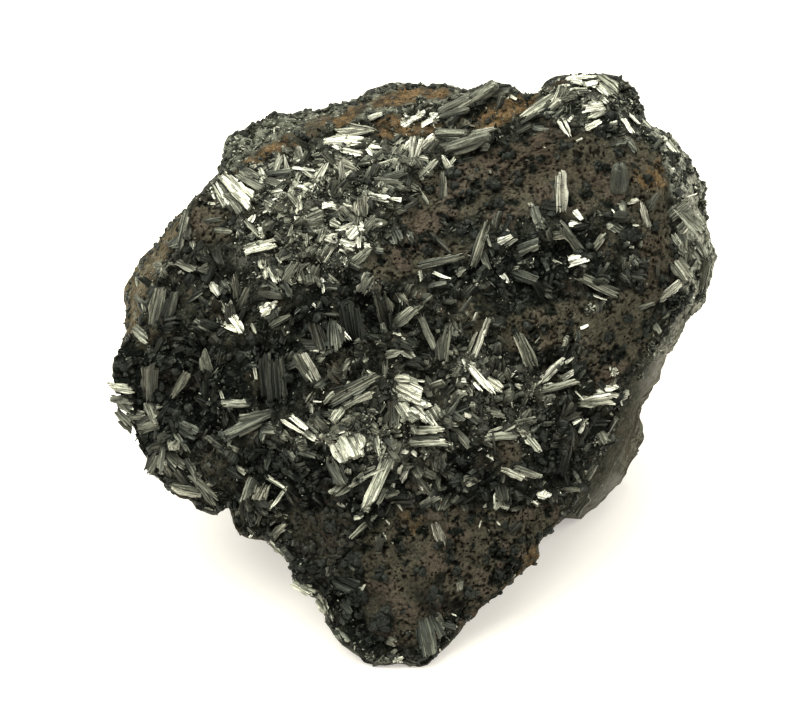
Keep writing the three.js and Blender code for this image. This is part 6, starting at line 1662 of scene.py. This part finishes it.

# glinting specks: tiny grains painted pale as painted glints
N5 = 1900
pos, nrm, t = scatter(rng, open_ground * (0.18 + 1.0 * zs["silver"]) + 0.010 * face_tri, N5)
keep = within(pos, 0.5)
pos, nrm, t = pos[keep], nrm[keep], t[keep]
N5 = len(t)
ax = tangent_dirs(rng, nrm, 0, 40)
tone = clamp01(rng.uniform(0.28, 0.88, N5))
ln, wd = rng.uniform(0.16, 0.45, N5), rng.uniform(0.10, 0.26, N5)
pile = Pile()
grains(pile, rng, pos + nrm * rng.uniform(0.0, 0.3, (N5, 1)), ax, LIGHTWARD[None] + rng.normal(0, 0.35, (N5, 3)), ln, wd, wd * 0.5, tone)
own(pile.object("crystal_glints"))

# sooty knobs
pile = Pile()
KN = 780
wgt = face_tri * (0.30 + 0.9 * zs["soot"]) * (1 - 0.75 * zs["silver"]) * (1 - 0.86 * crust_only) * (1 - 0.8 * zs["ochre"])
pos, nrm, t = scatter(rng, wgt, KN)
keep = within(pos, 0.6)
pos, nrm = pos[keep], nrm[keep]
KN = len(pos)
r = 0.22 + 0.55 * rng.uniform(0, 1, KN) ** 1.6
knobs(pile, rng, pos, nrm, r, rng.uniform(0.5, 0.9, KN), rng.uniform(0.0, 0.10, KN), n=2)
at, rad = [], []
for kx, ky, kr in KNOBS:
    for k in range(3 + int(kr * 0.6)):
        p = land(kx + rng.normal(0, kr * 0.5), ky + rng.normal(0, kr * 0.5))
        if p is not None:
            at.append(p)
            rad.append(UNIT * min(kr * rng.uniform(0.25, 0.6), 5.0))
at, rad = np.array(at), np.array(rad)
knobs(pile, rng, at, np.repeat(unit(EZ[None]), len(at), 0), rad, rng.uniform(0.45, 0.8, len(at)), rng.uniform(0.0, 0.10, len(at)), n=2)
own(pile.object("sooty_knobs"))

# rounded brown lobes low on the left, and broken points along the outline
pile = Pile()
at, rad = [], []
for k in range(70):
    p = land(rng.uniform(294, 350), rng.uniform(512, 562))
    if p is not None:
        at.append(p)
        rad.append(rng.uniform(0.32, 0.62))
at, rad = np.array(at), np.array(rad)
knobs(pile, rng, at, np.repeat(unit(EZ[None]), len(at), 0), rad, rng.uniform(0.55, 0.9, len(at)), rng.uniform(0.03, 0.12, len(at)), n=2, rust=0.28)
rim_at = np.array(EDGE, float)
rim_to = np.roll(rim_at, -1, 0)
seg = np.hypot(*(rim_to - rim_at).T)
out_at, out_dir = [], []
while len(out_at) < 640:
    k = rng.choice(len(seg), p=seg / seg.sum())
    x, y = rim_at[k] + (rim_to[k] - rim_at[k]) * rng.uniform()
    d = np.array([x - RADIAL[0], y - RADIAL[1]])
    d = d / np.hypot(*d)
    x, y = np.array([x, y]) - d * rng.uniform(0.5, 5.0)
    p = land(x, y)
    if p is not None and p[2] > 1.5 and not (x > 545 and y > 320) and rng.uniform() < (0.35 if x > 400 and y > 480 else 1.0):
        out_at.append(p)
        out_dir.append(EX * d[0] - EY * d[1])
out_at, out_dir = np.array(out_at), np.array(out_dir)
N6 = 400
ax = unit(out_dir[:N6] + 0.7 * rng.normal(0, 1, (N6, 3)))
# painted glints: a few broken points, chosen at random, are painted brighter
tone = clamp01(rng.normal(0.16, 0.12, N6) + 0.3 * (rng.uniform(0, 1, N6) < 0.12))
ln, wd = rng.uniform(0.35, 0.85, N6), rng.uniform(0.3, 0.9, N6)
grains(pile, rng, out_at[:N6] - ax * 0.3, ax, unit(rng.normal(0, 1, (N6, 3)) + EZ[None]), ln, wd, wd * rng.uniform(0.4, 0.9, N6), tone, rust=0.5 * rng.uniform(0, 1, N6) ** 2)
knobs(pile, rng, out_at[N6:], unit(out_dir[N6:] + EZ[None]), rng.uniform(0.25, 0.55, len(out_at) - N6), rng.uniform(0.5, 0.9, len(out_at) - N6),
      rng.uniform(0.02, 0.14, len(out_at) - N6), n=2)
own(pile.object("edge_lobes"))

# broken grains of the granular side bands, lying flat
N4 = 5000
wgt = (zs["band"] * 0.5 + zs["rim"] * 1.5 + 0.03 * zs["side"] * (1 - zs["sleek"])) * (1 - 0.7 * zs["ochre"]) + 0.35 * zs["ochre"] + 0.35 * zs["tan"]
pos, nrm, t = scatter(rng, wgt, N4)
keep = pos[:, 2] > 1.5
pos, nrm, t = pos[keep], nrm[keep], t[keep]
N4 = len(t)
ax = tangent_dirs(rng, nrm, -4, 14)
# painted glints: a few side grains, chosen at random, are painted much brighter
tone = clamp01(0.23 - 0.08 * zs["ochre"][t] - 0.12 * zs["band"][t] - 0.06 * zs["tan"][t] + 0.15 * zs["rim"][t] + rng.normal(0, 0.15, N4) + (rng.uniform(0, 1, N4) < 0.06) * 0.45)
ln, wd = rng.uniform(0.4, 1.2, N4), rng.uniform(0.35, 0.9, N4)
pile = Pile()
up = nrm + rng.normal(0, 0.3, (N4, 3))
grains(pile, rng, pos - ax * (0.5 * ln)[:, None] - nrm * 0.12, ax, up, ln, wd, wd * rng.uniform(0.3, 0.6, N4), tone, cut=0.9, rust=clamp01(0.5 * rng.uniform(0, 1, N4) ** 2 + 0.7 * zs["ochre"][t]))
own(pile.object("crystal_side_grains"))

# ------------------------------------------------------------------ floor, light, camera
def floor_material():
    m, nt, bsdf = new_material("studio_floor")
    bsdf.inputs["Base Color"].default_value = (0.82, 0.778, 0.745, 1)
    bsdf.inputs["Emission Color"].default_value = (1.0, 0.955, 0.915, 1)
    bsdf.inputs["Emission Strength"].default_value = 0.36
    bsdf.inputs["Roughness"].default_value = 0.9
    bsdf.inputs["Specular IOR Level"].default_value = 0.0
    return m


me = bpy.data.meshes.new("studio_floor")
s = 3.0
me.from_pydata([(-s, -s, 0), (s, -s, 0), (s, s, 0), (-s, s, 0)], [], [(0, 1, 2, 3)])
floor = bpy.data.objects.new("studio_floor", me)
floor.data.materials.append(floor_material())
bpy.context.scene.collection.objects.link(floor)

world = bpy.data.worlds.new("studio")
world.use_nodes = True
nt = world.node_tree
nt.nodes.clear()
T = Tree(nt)
o = T.node("ShaderNodeOutputWorld")
seen = T.node("ShaderNodeBackground")
seen.inputs[0].default_value = (1, 1, 0.99, 1)
seen.inputs[1].default_value = 1.0
fill = T.node("ShaderNodeBackground")
fill.inputs[0].default_value = (0.985, 0.995, 0.90, 1)
fill.inputs[1].default_value = 0.45
mixer = T.node("ShaderNodeMixShader")
nt.links.new(T.node("ShaderNodeLightPath").outputs["Is Camera Ray"], mixer.inputs[0])
nt.links.new(fill.outputs[0], mixer.inputs[1])
nt.links.new(seen.outputs[0], mixer.inputs[2])
nt.links.new(mixer.outputs[0], o.inputs[0])
bpy.context.scene.world = world


def area(name, at, aim, size, power, colour=(0.985, 1.0, 0.89)):
    l = bpy.data.lights.new(name, "AREA")
    l.shape = "RECTANGLE"
    l.size, l.size_y = size
    l.energy = power
    l.color = colour
    ob = bpy.data.objects.new(name, l)
    ob.location = at
    ob.rotation_euler = (Vector(aim) - Vector(at)).to_track_quat("-Z", "Y").to_euler()
    bpy.context.scene.collection.objects.link(ob)
    return ob


area("light_top", (-0.08, 0.15, 0.75), (0, 0, 0.03), (1.1, 0.9), 12.0)
area("light_left", (-0.65, -0.05, 0.45), (0, 0, 0.03), (0.4, 0.5), 4.2)
area("light_right", (0.65, -0.05, 0.45), (0, 0, 0.03), (0.4, 0.5), 2.8)

cam = bpy.data.cameras.new("camera")
cam.sensor_width = 36
cam.lens = 36 / 2 / (400 * UNIT / EYE)
cam.clip_start, cam.clip_end = 0.01, 20
camera = bpy.data.objects.new("camera", cam)
camera.location = Vector(EYE_AT * 0.001)
camera.rotation_mode = "QUATERNION"
camera.rotation_quaternion = Vector(-EZ).to_track_quat("-Z", "Y")
bpy.context.scene.collection.objects.link(camera)
bpy.context.scene.camera = camera
bpy.context.scene.view_settings.view_transform = "Standard"

bpy.context.view_layer.update()
count = {o.name: len(o.data.polygons) for o in bpy.data.objects if o.type == "MESH" and o.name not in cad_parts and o.name != "studio_floor"}
